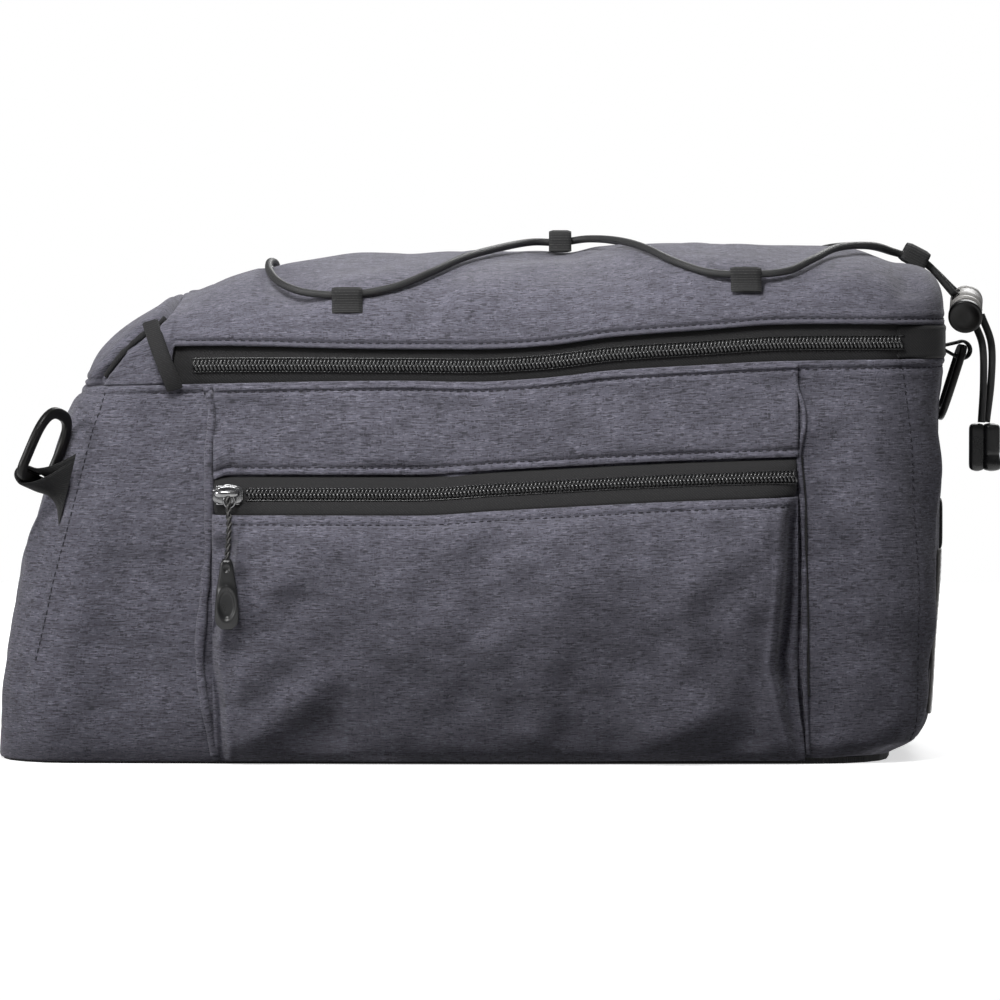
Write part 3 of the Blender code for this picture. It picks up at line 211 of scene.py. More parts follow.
def normals_of(points, wrap=False):
    """Unit normals of a grid: the cross product of the way along a row and the way up a column."""
    if wrap:
        across = np.roll(points, -1, axis=1) - np.roll(points, 1, axis=1)
    else:
        across = np.gradient(points, axis=1)
    normal = np.cross(across, np.gradient(points, axis=0))
    return normal / np.maximum(np.linalg.norm(normal, axis=2), 1e-12)[..., None]


def add_piece(name, parts, material, replaces=(), body="bag", merge=1e-7, sharp=None):
    """Joins parts into one mesh at the origin, merges doubles, and puts the piece on its body."""
    start, points, quads, corners = 0, [], [], []
    for part_points, part_quads, part_corners in parts:
        points.append(part_points)
        quads.append(part_quads + start)
        corners.append(part_corners)
        start += len(part_points)
    points, quads, corners = np.concatenate(points), np.concatenate(quads), np.concatenate(corners)
    mesh = bpy.data.meshes.new(name)
    mesh.vertices.add(len(points))
    mesh.vertices.foreach_set("co", points.ravel())
    mesh.loops.add(quads.size)
    mesh.loops.foreach_set("vertex_index", quads.ravel().astype(np.int32))
    mesh.polygons.add(len(quads))
    mesh.polygons.foreach_set("loop_start", np.arange(0, quads.size, 4, dtype=np.int32))
    mesh.uv_layers.new(name="cloth").data.foreach_set("uv", corners.ravel())
    mesh.update(calc_edges=True)
    if merge:
        work = bmesh.new()
        work.from_mesh(mesh)
        bmesh.ops.remove_doubles(work, verts=work.verts, dist=merge)
        bmesh.ops.recalc_face_normals(work, faces=work.faces)
        work.to_mesh(mesh)
        work.free()
    mesh.shade_smooth()
    if sharp:
        mesh.set_sharp_from_angle(angle=math.radians(sharp))
    mesh.materials.append(material)
    piece = bpy.data.objects.new(name, mesh)
    bpy.context.collection.objects.link(piece)
    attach(piece, body)
    if replaces:
        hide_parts(*replaces)
    print(name, len(mesh.polygons), "faces")
    return piece


def closed_sheet(outer, inner):
    """A wall between two grids of equal size, closed round its four edges."""
    edges = ((inner[0], outer[0]), (outer[-1], inner[-1]), (outer[:, 0], inner[:, 0]),
             (inner[:, -1], outer[:, -1]))
    return [grid_part(outer), grid_part(inner, turn=True)] + [grid_part(np.stack(edge)) for edge in edges]


# %% [markdown]
# ## Lines
# Zips, stitches, cords and webbing all follow a line on the cloth. These helpers measure a line, read values
# at any length along it and give each place its own three directions, so that a small part can be set there.

# %% Line helpers
def unit(vector):
    vector = np.asarray(vector, float)
    return vector / np.linalg.norm(vector, axis=-1, keepdims=True)


def run_along(line):
    """The length from a line's start to each of its points."""
    return np.concatenate([[0.0], np.cumsum(np.linalg.norm(np.diff(line, axis=0), axis=1))])


def read_at(values, run, at):
    """Rows of values that belong to places on a line, read at other lengths along it."""
    return np.stack([np.interp(at, run, column) for column in values.T], axis=1)


def frames_on(line, outwards, at):
    """Places along a line and the three directions of each: ahead, sideways and outwards."""
    run = run_along(line)
    where, out = read_at(line, run, at), unit(read_at(outwards, run, at))
    ahead = unit(read_at(line, run, at + 1e-4) - where)
    return where, np.stack([ahead, np.cross(out, ahead), out], axis=1)


def smoothed(values, reach, edge="edge"):
    """The running mean over some places to each side, down each column."""
    mean = np.ones(2 * reach + 1) / (2 * reach + 1)
    return np.apply_along_axis(lambda row: np.convolve(np.pad(row, reach, edge), mean, "valid"), 0, values)


def around(sides):
    """Evenly spaced angles of a full turn."""
    return np.linspace(0.0, 2 * math.pi, sides, endpoint=False)


def box_of(node):
    """A CAD node's lowest corner, highest corner and middle."""
    low, high = (np.array(corner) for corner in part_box(node))
    return low, high, 0.5 * (low + high)


# %% [markdown]
# ## Relief
# Folds, seams and unevenness are heights that are added along a grid's normals. Each is a formula of the
# distance from a line, or the sum of a few sine waves, so it is the same on each run.

# %% Relief helpers
def bump_at(distance, width):
    """A soft hump, 1 where the distance is 0: exp(-(distance / width)**2)."""
    return np.exp(-(distance / width) ** 2)


def ease(value):
    """Goes smoothly from 0 to 1: 3t**2 - 2t**3."""
    t = np.clip(value, 0.0, 1.0)
    return t * t * (3.0 - 2.0 * t)


def ripple(a, b, size, seed):
    """Gentle unevenness of cloth: the mean of ten sine waves of about one size in random directions."""
    chance = np.random.default_rng(seed)
    turn, phase = chance.uniform(0, 2 * math.pi, (2, 10))
    wave = 2 * math.pi / (size * chance.uniform(0.7, 1.5, 10))
    total = 0.0 * a
    for t, p, k in zip(turn, phase, wave):
        total = total + np.sin((a * math.cos(t) + b * math.sin(t)) * k + p)
    return total / math.sqrt(10.0)


def from_line(x, z, line):
    """Signed distance of each (x, z) from a broken line, positive on its left, and the length along it."""
    a, b = line[:-1], line[1:]
    run = b - a
    size = np.linalg.norm(run, axis=1)
    offset_x, offset_z = x[..., None] - a[:, 0], z[..., None] - a[:, 1]
    share = np.clip((offset_x * run[:, 0] + offset_z * run[:, 1]) / size**2, 0.0, 1.0)
    miss_x, miss_z = offset_x - share * run[:, 0], offset_z - share * run[:, 1]
    distance = np.hypot(miss_x, miss_z)
    best = distance.argmin(axis=-1)[..., None]
    side = np.sign(run[:, 0] * offset_z - run[:, 1] * offset_x)
    start = np.concatenate([[0.0], np.cumsum(size)[:-1]])
    pick = lambda values: np.take_along_axis(values, best, axis=-1)[..., 0]
    return pick(distance * side), pick(start + share * size)


def folds(x, z, rows):
    """Ridges and valleys along straight creases: (start, end, half width, height), fading to both ends."""
    total = 0.0 * x
    for start, end, width, height in rows:
        line = near(start, end)
        distance, length = from_line(x, z, line)
        share = np.clip(length / np.linalg.norm(line[1] - line[0]), 0.0, 1.0)
        total = total + height * bump_at(distance, width) * np.sin(math.pi * share) ** 0.7
    return total


# %% [markdown]
# ## Tubes and copies
# A cord or a thread is a round profile carried along a path. Teeth and stitches repeat by the hundred, so one
# small part is made once and copied to every place as one array, which is far quicker than one at a time.

# %% Tubes and copies
def smooth_line(points, steps):
    """Evenly spaced points on a Catmull-Rom curve, which passes through every given point."""
    points = np.asarray(points, float)
    ends = np.concatenate([[2 * points[0] - points[1]], points, [2 * points[-1] - points[-2]]])
    a, b, c, d = (ends[k:len(ends) - 3 + k, None] for k in range(4))
    t = np.linspace(0.0, 1.0, 16, endpoint=False)[None, :, None]
    fine = 0.5 * (2 * b + (c - a) * t + (2 * a - 5 * b + 4 * c - d) * t**2 + (3 * b - a - 3 * c + d) * t**3)
    fine = np.concatenate([fine.reshape(-1, points.shape[1]), points[-1:]])
    run = run_along(fine)
    return read_at(fine, run, np.linspace(0.0, run[-1], steps + 1))


def tube(path, radius, sides=14, squeeze=1.0, ends=True, start=(0.0, 0.0, 1.0)):
    """A round profile carried along a path on a frame that is turned as little as possible."""
    path = np.asarray(path, float)
    radius = np.broadcast_to(np.asarray(radius, float), len(path))
    tangent = unit(np.gradient(path, axis=0))
    side = np.cross(np.broadcast_to(np.asarray(start, float), path.shape), tangent)
    side = unit(np.where(np.linalg.norm(side, axis=1)[:, None] < 0.1, (1.0, 0.0, 0.0), side))
    other = np.cross(tangent, side)
    turn = around(sides)[None, :, None]
    ring = np.cos(turn) * side[:, None] + squeeze * np.sin(turn) * other[:, None]
    points = path[:, None] + radius[:, None, None] * ring
    if ends:
        points = np.concatenate([np.broadcast_to(path[0], points[:1].shape), points,
                                 np.broadcast_to(path[-1], points[:1].shape)])
        path = np.concatenate([path[:1], path, path[-1:]])
    uv = np.stack(np.meshgrid(np.linspace(0.0, 1.0, sides + 1), run_along(path)), axis=2)
    return grid_part(points, uv, wrap=True)


def scatter(part, places, frames):
    """Copies a small part to many places; each frame's three rows are its own x, y and z directions."""
    points, quads, corners = part
    spread = np.einsum("vk,nkc->nvc", points, frames) + places[:, None]
    shift = (np.arange(len(places)) * len(points))[:, None, None]
    return (spread.reshape(-1, 3), (quads[None] + shift).reshape(-1, 4),
            np.tile(corners, (len(places), 1, 1)))


def on_surface(points, normals, x, z, side):
    """Points of a grid's surface at places (x, z) on one side: the nearest grid point's tangent plane."""
    keep = points[..., 1] * side > 0.0
    flat, normal = points[keep], normals[keep]
    miss = (flat[None, :, 0] - x[:, None]) ** 2 + (flat[None, :, 2] - z[:, None]) ** 2
    best = miss.argmin(axis=1)
    flat, normal = flat[best], normal[best]
    lean = (normal[:, 0] * (x - flat[:, 0]) + normal[:, 2] * (z - flat[:, 2])) / normal[:, 1]
    return np.column_stack([x, flat[:, 1] - lean, z]), normal


# %% [markdown]
# ## Shader nodes
# A material is a tree of small steps. Each helper adds one step and links its inputs, so that a finish reads
# as a few lines. A step could be set up by hand each time, but then the same eight lines repeat forty times.

# %% Shader helpers
def new_group(name, inputs, outputs):
    """An empty shader node group with named sockets."""
    group = bpy.data.node_groups.new(name, "ShaderNodeTree")
    for label, kind, value in inputs:
        socket = group.interface.new_socket(label, in_out="INPUT", socket_type=kind)
        if value is not None:
            socket.default_value = value
    for label, kind in outputs:
        group.interface.new_socket(label, in_out="OUTPUT", socket_type=kind)
    start = group.nodes.new("NodeGroupInput")
    end = group.nodes.new("NodeGroupOutput")
    return group, start, end


def fill(tree, node, **inputs):
    """Links a node's inputs to sockets or gives them plain values; underscores stand for spaces."""
    for label, value in inputs.items():
        socket = node.inputs[label.replace("_", " ")]
        if isinstance(value, bpy.types.NodeSocket):
            tree.links.new(value, socket)
        else:
            socket.default_value = value
    return node


def add_node(tree, kind, **inputs):
    return fill(tree, tree.nodes.new("ShaderNode" + kind), **inputs)


def math_node(tree, operation, a, b=0.0):
    """A Math node's result; a and b are sockets or plain numbers."""
    node = tree.nodes.new("ShaderNodeMath")
    node.operation = operation
    for socket, value in zip(node.inputs, (a, b)):
        if isinstance(value, bpy.types.NodeSocket):
            tree.links.new(value, socket)
        else:
            socket.default_value = value
    return node.outputs[0]


def noise_node(tree, vector, scale, stretch=(1.0, 1.0, 1.0), detail=2.0, shift=0.0):
    """Noise on a vector that is first stretched, as 0 to 1."""
    place = add_node(tree, "Mapping", Vector=vector, Scale=stretch, Location=(shift, shift, shift))
    return add_node(tree, "TexNoise", Vector=place.outputs[0], Scale=scale, Detail=detail).outputs["Fac"]


def ramp_node(tree, value, low, high):
    """A value mapped from low..high to 0..1 and clamped."""
    return add_node(tree, "MapRange", Value=value, From_Min=low, From_Max=high).outputs["Result"]


def mix_node(tree, share, a, b):
    """Mixes two colours, each a socket or four numbers."""
    node = tree.nodes.new("ShaderNodeMix")
    node.data_type = "RGBA"
    return fill(tree, node, Factor=share, A=a, B=b).outputs["Result"]


def new_material(name, roughness, specular=0.5, metallic=0.0, sheen=0.0):
    """A material with its plain numbers on the shader's own sockets."""
    made = bpy.data.materials.new(name)
    made.use_nodes = True
    shader = made.node_tree.nodes["Principled BSDF"]
    fill(made.node_tree, shader, Roughness=roughness, Specular_IOR_Level=specular, Metallic=metallic,
         Sheen_Weight=sheen, Sheen_Roughness=0.6)
    return made, made.node_tree, shader


def place_group(tree, group, vector, **values):
    """A shared group in a material, with its own values."""
    node = tree.nodes.new("ShaderNodeGroup")
    node.node_tree = group
    return fill(tree, node, Vector=vector, **values)


def finish_shader(tree, shader, node, bump, strength=1.0, outputs=("Color",), labels=("Base_Color",)):
    """Links a group's colour (and roughness) to the shader, and its height through a Bump node."""
    relief = add_node(tree, "Bump", Height=node.outputs["Height"], Distance=bump, Strength=strength)
    fill(tree, shader, Normal=relief.outputs["Normal"],
         **{label: node.outputs[output] for output, label in zip(outputs, labels)})


def cloth_uv(tree):
    node = tree.nodes.new("ShaderNodeUVMap")
    node.uv_map = "cloth"
    return node.outputs["UV"]


def object_place(tree):
    return tree.nodes.new("ShaderNodeTexCoord").outputs["Object"]


# %% [markdown]
# ## Materials: heather cloth
# Heather cloth is woven from yarns of mixed shades, so the colour breaks into short dashes along the bag and
# fainter ones up it. An image could show that, but noise stretched along the cloth's own UV map, in metres,
# needs no file and never repeats. The group gives colour and height; the shader stays in the material.

# %% Heather cloth
heather, start, end = new_group(
    "heather_weave",
    [("Vector", "NodeSocketVector", None), ("Yarn", "NodeSocketColor", (0.15, 0.145, 0.19, 1)),
     ("Dark Yarn", "NodeSocketColor", (0.06, 0.055, 0.07, 1)),
     ("Light Yarn", "NodeSocketColor", (0.25, 0.24, 0.3, 1))],
    [("Color", "NodeSocketColor"), ("Height", "NodeSocketFloat")])
cloth = start.outputs["Vector"]
dashes = noise_node(heather, cloth, 1.0, (210.0, 1350.0, 1.0), 3.0)
fine_dashes = noise_node(heather, cloth, 1.0, (340.0, 1700.0, 1.0), 2.0, 31.0)
threads = noise_node(heather, cloth, 1.0, (1500.0, 420.0, 1.0), 1.0, 77.0)
patches = noise_node(heather, cloth, 1.0, (75.0, 190.0, 1.0), 4.0, 11.0)
flecks = noise_node(heather, cloth, 1.0, (900.0, 1500.0, 1.0), 0.0, 53.0)
dark = ramp_node(heather, math_node(heather, "ADD", dashes, math_node(heather, "MULTIPLY", threads, 0.25)),
                 0.600, 0.520)
light = math_node(heather, "MAXIMUM", ramp_node(heather, fine_dashes, 0.54, 0.66),
                  math_node(heather, "MULTIPLY", ramp_node(heather, threads, 0.62, 0.80), 0.6))
shade = mix_node(heather, dark, start.outputs["Yarn"], start.outputs["Dark Yarn"])
shade = mix_node(heather, light, shade, start.outputs["Light Yarn"])
wash = ramp_node(heather, patches, 0.42, 0.60)
shade = mix_node(heather, math_node(heather, "MULTIPLY", wash, 0.34), shade, start.outputs["Dark Yarn"])
spots = math_node(heather, "MULTIPLY", ramp_node(heather, flecks, 0.70, 0.76), 0.9)
shade = mix_node(heather, spots, shade, start.outputs["Dark Yarn"])
heather.links.new(shade, end.inputs["Color"])
relief = math_node(heather, "ADD", dashes, math_node(heather, "MULTIPLY", threads, 0.5))
heather.links.new(relief, end.inputs["Height"])
print("heather group:", len(heather.nodes), "nodes")


def heather_material(name, yarn, dark_yarn, light_yarn):
    made, tree, shader = new_material(name, 0.9, specular=0.25, sheen=0.12)
    node = place_group(tree, heather, cloth_uv(tree), Yarn=yarn, Dark_Yarn=dark_yarn, Light_Yarn=light_yarn)
    finish_shader(tree, shader, node, 0.0003, 0.6)
    return made


FABRIC = heather_material("heather_fabric", (0.136, 0.132, 0.167, 1), (0.058, 0.056, 0.069, 1),
                          (0.232, 0.227, 0.278, 1))

# %% [markdown]
# ## Materials: tape, webbing, cord and thread
# Zip tape, webbing and cord are all black or dark grey yarn, and differ in how the yarn runs. A twill shows
# slanting lines, webbing shows ribs across, and a braid shows two sets of slanting lines that cross. One
# group draws two sets of lines from the UV map, and its angles and spacing tell the finishes apart.

# %% Yarn group
yarn, start, end = new_group(
    "yarn_lines",
    [("Vector", "NodeSocketVector", None), ("Across", "NodeSocketFloat", 1000.0),
     ("Along", "NodeSocketFloat", 1000.0), ("Base", "NodeSocketColor", (0.03, 0.03, 0.03, 1)),
     ("Fleck", "NodeSocketColor", (0.08, 0.08, 0.08, 1)), ("Crossing", "NodeSocketFloat", 1.0)],
    [("Color", "NodeSocketColor"), ("Height", "NodeSocketFloat")])
parts = yarn.nodes.new("ShaderNodeSeparateXYZ")
yarn.links.new(start.outputs["Vector"], parts.inputs[0])
across = math_node(yarn, "MULTIPLY", parts.outputs["X"], start.outputs["Across"])
lengthways = math_node(yarn, "MULTIPLY", parts.outputs["Y"], start.outputs["Along"])
first = math_node(yarn, "SINE", math_node(yarn, "ADD", across, lengthways))
second = math_node(yarn, "SINE", math_node(yarn, "SUBTRACT", across, lengthways))
second = math_node(yarn, "MULTIPLY", second, start.outputs["Crossing"])
weave = math_node(yarn, "MAXIMUM", first, second)
yarn.links.new(weave, end.inputs["Height"])
fuzz = noise_node(yarn, start.outputs["Vector"], 1.0, (1500.0, 1500.0, 1.0), 2.0, 5.0)
bright = math_node(yarn, "MULTIPLY", ramp_node(yarn, weave, 0.2, 1.0), ramp_node(yarn, fuzz, 0.4, 0.75))
yarn.links.new(mix_node(yarn, bright, start.outputs["Base"], start.outputs["Fleck"]), end.inputs["Color"])


def yarn_material(name, base, fleck, across, along, crossing, bump, roughness=0.85, specular=0.3):
    made, tree, shader = new_material(name, roughness, specular=specular, sheen=0.05)
    node = place_group(tree, yarn, cloth_uv(tree), Base=base, Fleck=fleck, Across=across, Along=along,
                       Crossing=crossing)
    finish_shader(tree, shader, node, bump)
    return made


TAPE_CLOTH = yarn_material("zip_tape", (0.020, 0.0196, 0.0205, 1), (0.044, 0.043, 0.043, 1), 5200.0, 5200.0,
                           0.0, 0.00006)
WEBBING = yarn_material("webbing", (0.026, 0.026, 0.0265, 1), (0.062, 0.061, 0.060, 1), 0.0,
                        2 * math.pi / 0.00105, 0.0, 0.00010)
PLAIN_WEBBING = yarn_material("plain_webbing", (0.026, 0.026, 0.0265, 1), (0.055, 0.054, 0.053, 1),
                              2 * math.pi / 0.0011, 0.0, 0.0, 0.00012)
BRAID = yarn_material("elastic_cord", (0.020, 0.020, 0.0205, 1), (0.044, 0.044, 0.044, 1), 2 * math.pi * 8,
                      7000.0, 1.0, 0.00004, roughness=0.5, specular=0.4)
PULL_BRAID = yarn_material("pull_cord", (0.018, 0.018, 0.019, 1), (0.36, 0.35, 0.34, 1), 2 * math.pi * 2,
                           1900.0, 1.0, 0.0001, roughness=0.55)
THREAD = yarn_material("thread", (0.036, 0.034, 0.043, 1), (0.085, 0.082, 0.100, 1), 2 * math.pi * 2, 6000.0,
                       0.0, 0.00006)

# %% [markdown]
# ## Materials: moulded plastic and plated metal
# Moulded parts have a fine grain that spreads the highlight, and handling leaves it a little smoother in
# places. Both come from noise on Object coordinates, since these parts keep their place in their mesh.

# %% Plastic and metal
grain, start, end = new_group(
    "moulded_grain",
    [("Vector", "NodeSocketVector", None), ("Base", "NodeSocketColor", (0.02, 0.02, 0.02, 1)),
     ("Worn", "NodeSocketColor", (0.05, 0.05, 0.05, 1)), ("Smooth", "NodeSocketFloat", 0.3),
     ("Rough", "NodeSocketFloat", 0.5)],
    [("Color", "NodeSocketColor"), ("Roughness", "NodeSocketFloat"), ("Height", "NodeSocketFloat")])
speckle = noise_node(grain, start.outputs["Vector"], 2600.0, detail=2.0)
cloud = ramp_node(grain, noise_node(grain, start.outputs["Vector"], 160.0, detail=3.0), 0.35, 0.7)
grain.links.new(mix_node(grain, cloud, start.outputs["Base"], start.outputs["Worn"]), end.inputs["Color"])
span = math_node(grain, "SUBTRACT", start.outputs["Rough"], start.outputs["Smooth"])
grain.links.new(math_node(grain, "ADD", start.outputs["Smooth"], math_node(grain, "MULTIPLY", cloud, span)),
                end.inputs["Roughness"])
grain.links.new(speckle, end.inputs["Height"])


def moulded_material(name, base, worn, smooth, rough, bump, **finish):
    made, tree, shader = new_material(name, rough, **finish)
    node = place_group(tree, grain, object_place(tree), Base=base, Worn=worn, Smooth=smooth, Rough=rough)
    finish_shader(tree, shader, node, bump, 1.0, ("Color", "Roughness"), ("Base_Color", "Roughness"))
    return made


BLACK_PLASTIC = moulded_material("black_plastic", (0.0045, 0.0043, 0.0042, 1), (0.0090, 0.0080, 0.0072, 1),
                                 0.30, 0.46, 0.00002, specular=0.28)
TAB_PLASTIC = moulded_material("tab_rubber", (0.012, 0.012, 0.0125, 1), (0.020, 0.020, 0.0205, 1), 0.26, 0.42,
                               0.00004)
GREY_PLASTIC = moulded_material("grey_plastic", (0.27, 0.26, 0.25, 1), (0.33, 0.32, 0.305, 1), 0.36, 0.50,
                                0.00002)
COIL_PLASTIC = moulded_material("zip_coil", (0.020, 0.020, 0.0205, 1), (0.032, 0.032, 0.032, 1), 0.14, 0.26,
                                0.00001, specular=0.8)
SLIDER_METAL = moulded_material("slider_metal", (0.20, 0.20, 0.205, 1), (0.36, 0.36, 0.36, 1), 0.14, 0.30,
                                0.00002, metallic=1.0)
REFLECTIVE = moulded_material("reflective_strip", (0.33, 0.32, 0.30, 1), (0.42, 0.41, 0.39, 1), 0.30, 0.42,
                              0.00005)
print("materials:", len(bpy.data.materials))

# %% [markdown]
# ## Elastic cord
# The lacing is one elastic cord that leaves the lock, passes through the loops on the near half of the lid,
# bends round the front and comes back along the far half. Its route is a table of stages between the loops,
# and each point is set on the lid's own curve, so the cord lies on the cloth instead of floating over it.

# %% Elastic cord and its tails
LOOPS_X = (0.190, 0.1775, 0.108, 0.036, -0.048, -0.080)
ROUTE = np.array((  # stage between those places, share out to the side, lift
    (-0.550, 0.024, 0.0012), (0.000, 0.026, 0.0012), (0.108, 0.040, 0.0024),
    (0.252, 0.200, 0.0022), (0.453, 0.470, 0.0008), (0.612, 0.730, 0.0005), (0.770, 0.862, 0.0005),
    (1.000, 0.885, 0.0006), (1.208, 0.860, 0.0005), (1.389, 0.760, 0.0005), (1.542, 0.560, 0.0006),
    (1.681, 0.300, 0.0009), (1.833, 0.062, 0.0024), (2.000, 0.026, 0.0030), (2.143, 0.056, 0.0026),
    (2.298, 0.280, 0.0008), (2.464, 0.560, 0.0005), (2.607, 0.750, 0.0005), (2.786, 0.865, 0.0005),
    (3.000, 0.900, 0.0006), (3.500, 0.880, 0.0005), (3.812, 0.800, 0.0005), (3.969, 0.620, 0.0005),
    (4.000, 0.340, 0.0005)))
LOCK_CENTRE, LOCK_AXIS = np.array((0.2003, 0.0012, 0.1792)), unit((-0.10, -0.93, -0.33))
LOCK_RADIUS, LOCK_LENGTH, LOCK_PITCH = 0.0066, 0.0145, 0.0021
TAILS = (((0.45, 0.0, -0.89), 1, ((0.2068, -0.0016, 0.1630), (0.2072, -0.0016, 0.1480),
                                  (0.2064, -0.0016, 0.1322))),
         ((0.80, 0.0, -0.60), -1, ((0.2106, 0.0022, 0.1640), (0.2106, 0.0018, 0.1490),
                                   (0.2087, 0.0016, 0.1322))))


def dome(x, share, roundness=2.4):
    """The lid's curve across the bag: y is a share of the half width, z follows a superellipse."""
    edge = side_wall(x, rim_height(x))
    up = (1.0 - np.minimum(np.abs(share), 1.0) ** roundness) ** (1.0 / roundness)
    base = dome_base(x)
    return np.stack([x + 0.0 * share, share * edge, base + (crown(x) - base) * up], axis=-1)


def rear_fall(x):
    """How far the lid's middle line has dropped where its rear corner rounds down."""
    ridge, rear = LENGTH * (SPINE_REAR - 0.5), body_ends(1.0)[1]
    out = np.clip((x - ridge) / (rear - ridge), 0.0, 0.95)
    return (crown(x) - dome_base(x)) * (1.0 - (1.0 - out**3.6) ** (1.0 / 3.6))


def on_dome(x, share):
    """A point of the lid and its normal, from the slopes along and across the bag."""
    x, share = np.asarray(x, float), np.asarray(share, float)
    slope_x = dome(x + 0.002, share) - dome(x - 0.002, share)
    slope_y = dome(x, share + 0.02) - dome(x, share - 0.02)
    return dome(x, share), unit(np.cross(slope_x, slope_y))


def beside_lock(towards, place):
    """Where a strand leaves the barrel: beside its round wall on the given side, some pitches along it."""
    towards = np.array(towards, float)
    out = unit(towards - (towards @ LOCK_AXIS) * LOCK_AXIS)
    return LOCK_CENTRE + out * (LOCK_RADIUS + 3 * CLEARANCE) + LOCK_AXIS * place * LOCK_PITCH


route_x = np.interp(ROUTE[:, 0], range(-1, 5), LOOPS_X)
spots, upwards = on_dome(route_x, -ROUTE[:, 1])
near_half = spots + upwards * (ROUTE[:, 2:3] + 0.5 * CORD + CLEARANCE)
near_half[:, 2] -= rear_fall(near_half[:, 0])
entry = beside_lock((-0.62, 0.0, 0.78), 1), beside_lock((-0.62, 0.0, 0.78), -1)
lacing = np.concatenate([[entry[0]], near_half, near_half[::-1] * (1, -1, 1), [entry[1]]])
lacing = smooth_line(lacing, 640)
cord = add_piece("lacing_cord", [tube(lacing, 0.5 * CORD, 14)], BRAID, ["elastic_cord"])
for number, (way, place, route) in enumerate(TAILS, 1):
    line = smooth_line([beside_lock(way, place), *route], 60)
    tail = add_piece("tail_%d" % number, [tube(line, 0.5 * CORD, 14, start=(0, 1, 0))], BRAID,
                     ["cord_tail_%d" % number])

# %% [markdown]
# ## Body wall
# The wall is stiffened cloth sewn from panels. It could be modelled panel by panel, but the panels lie in one
# skin, so one grid is simpler: columns go round a rounded rectangle and rows go up it. Seams are narrow
# valleys along lines, the rolled rim is a hump beside the zip, and ripples keep the cloth from looking cast.

# %% Body wall
FRONT_SEAM = near((95, 391), (90, 410), (80, 440), (60, 520), (43, 582), (35, 619), (23, 669), (19, 700),
                  (12, 742))
REAR_SEAM = near((904, 366), (909, 406), (914, 449), (916, 499), (920, 560), (922, 600), (922, 680),
                 (921, 727), (915, 748))
LEFT_EDGE = near((206, 385), (211, 417), (208, 449), (208, 482), (209, 523), (205, 578), (201, 619),
                 (198, 649), (200, 686), (207, 729), (214, 760))
RIGHT_EDGE = near((794, 366), (796, 385), (804, 408), (805, 429), (799, 454), (803, 505), (805, 592),
                  (807, 700), (811, 760))
BODY_FOLDS = (((806, 764), (864, 740), 0.006, 0.0016), ((838, 768), (905, 700), 0.007, -0.0012),
              ((20, 745), (70, 700), 0.008, 0.0010), ((120, 400), (150, 470), 0.010, -0.0007),
              ((150, 520), (185, 640), 0.009, 0.0008), ((60, 640), (100, 560), 0.010, 0.0007),
              ((820, 430), (850, 560), 0.010, -0.0007), ((860, 600), (880, 700), 0.009, 0.0007))


def columns_round(side, corner, end):
    """Each column's place on a rounded rectangle: its share along the straight parts, and its direction."""
    turn = np.linspace(0.0, 0.5 * math.pi, corner + 2)[1:-1]
    one, back = np.ones(corner), turn[::-1]
    zero = np.zeros
    parts = [
        (side, -np.ones(len(side)), zero(len(side)), -np.ones(len(side))),
        (one, -one, np.sin(turn), -np.cos(turn)),
        (np.ones(len(end)), end, np.ones(len(end)), zero(len(end))),
        (one, one, np.cos(turn), np.sin(turn)),
        (side[::-1], np.ones(len(side)), zero(len(side)), np.ones(len(side))),
        (-one, one, -np.sin(turn), np.cos(turn)),
        (-np.ones(len(end)), end[::-1], -np.ones(len(end)), zero(len(end))),
        (-one, -one, -np.sin(back), -np.cos(back)),
    ]
    return [np.concatenate([part[k] for part in parts]) for k in range(4)]


def plan(columns, height, inset=0.0):
    """The outline seen from above at each height: bowed ends and sides, narrower towards the front."""
    ax, ay, nx, ny = columns
    height = np.atleast_1d(height)[:, None]
    inset = np.broadcast_to(inset, height.shape)
    front, rear = body_ends(height)
    hx = 0.5 * (rear - front) - END_BOW - inset
    hy = 0.5 * WIDTH * read(BODY, height, 3) - SIDE_BOW - inset
    radius = CORNER_RADIUS - inset
    px, py = (hx - radius) * ax + radius * nx, (hy - radius) * ay + radius * ny
    x = px * (1.0 + END_BOW / hx * (1.0 - (py / hy) ** 2)) + 0.5 * (front + rear)
    y = py * (1.0 + SIDE_BOW / hy * (1.0 - np.clip(px / hx, -1.0, 1.0) ** 2))
    return x, y * (1.0 + FRONT_TAPER * np.minimum(x, 0.0) / (0.5 * LENGTH))


def foot_height(x):
    """The cloth's lower edge: it covers the base's edge apart from a stretch towards the rear."""
    return 0.0009 + 0.0019 * ease((x - 0.050) / 0.030)


def wall_grid(columns, heights, inset=0.0):
    x, y = plan(columns, heights, inset)
    foot = foot_height(x)
    z = foot + np.asarray(heights)[:, None] * (rim_height(x) - foot)
    return np.stack([x, y, z], axis=2)


def rolled_edge(distance, stitch):
    """A folded hem: a hump at the edge, a pinch along the stitches and a soft rise behind them."""
    return (0.00055 * bump_at(distance - 0.4 * stitch, 0.42 * stitch)
            - 0.00045 * bump_at(distance - stitch, 0.0006)
            + 0.00030 * bump_at(distance - 1.9 * stitch, 0.6 * stitch))


def spaced(*runs):
    """Joins evenly divided runs, each (start, end, steps)."""
    return np.unique(np.concatenate([np.linspace(a, b, n + 1) for a, b, n in runs]))


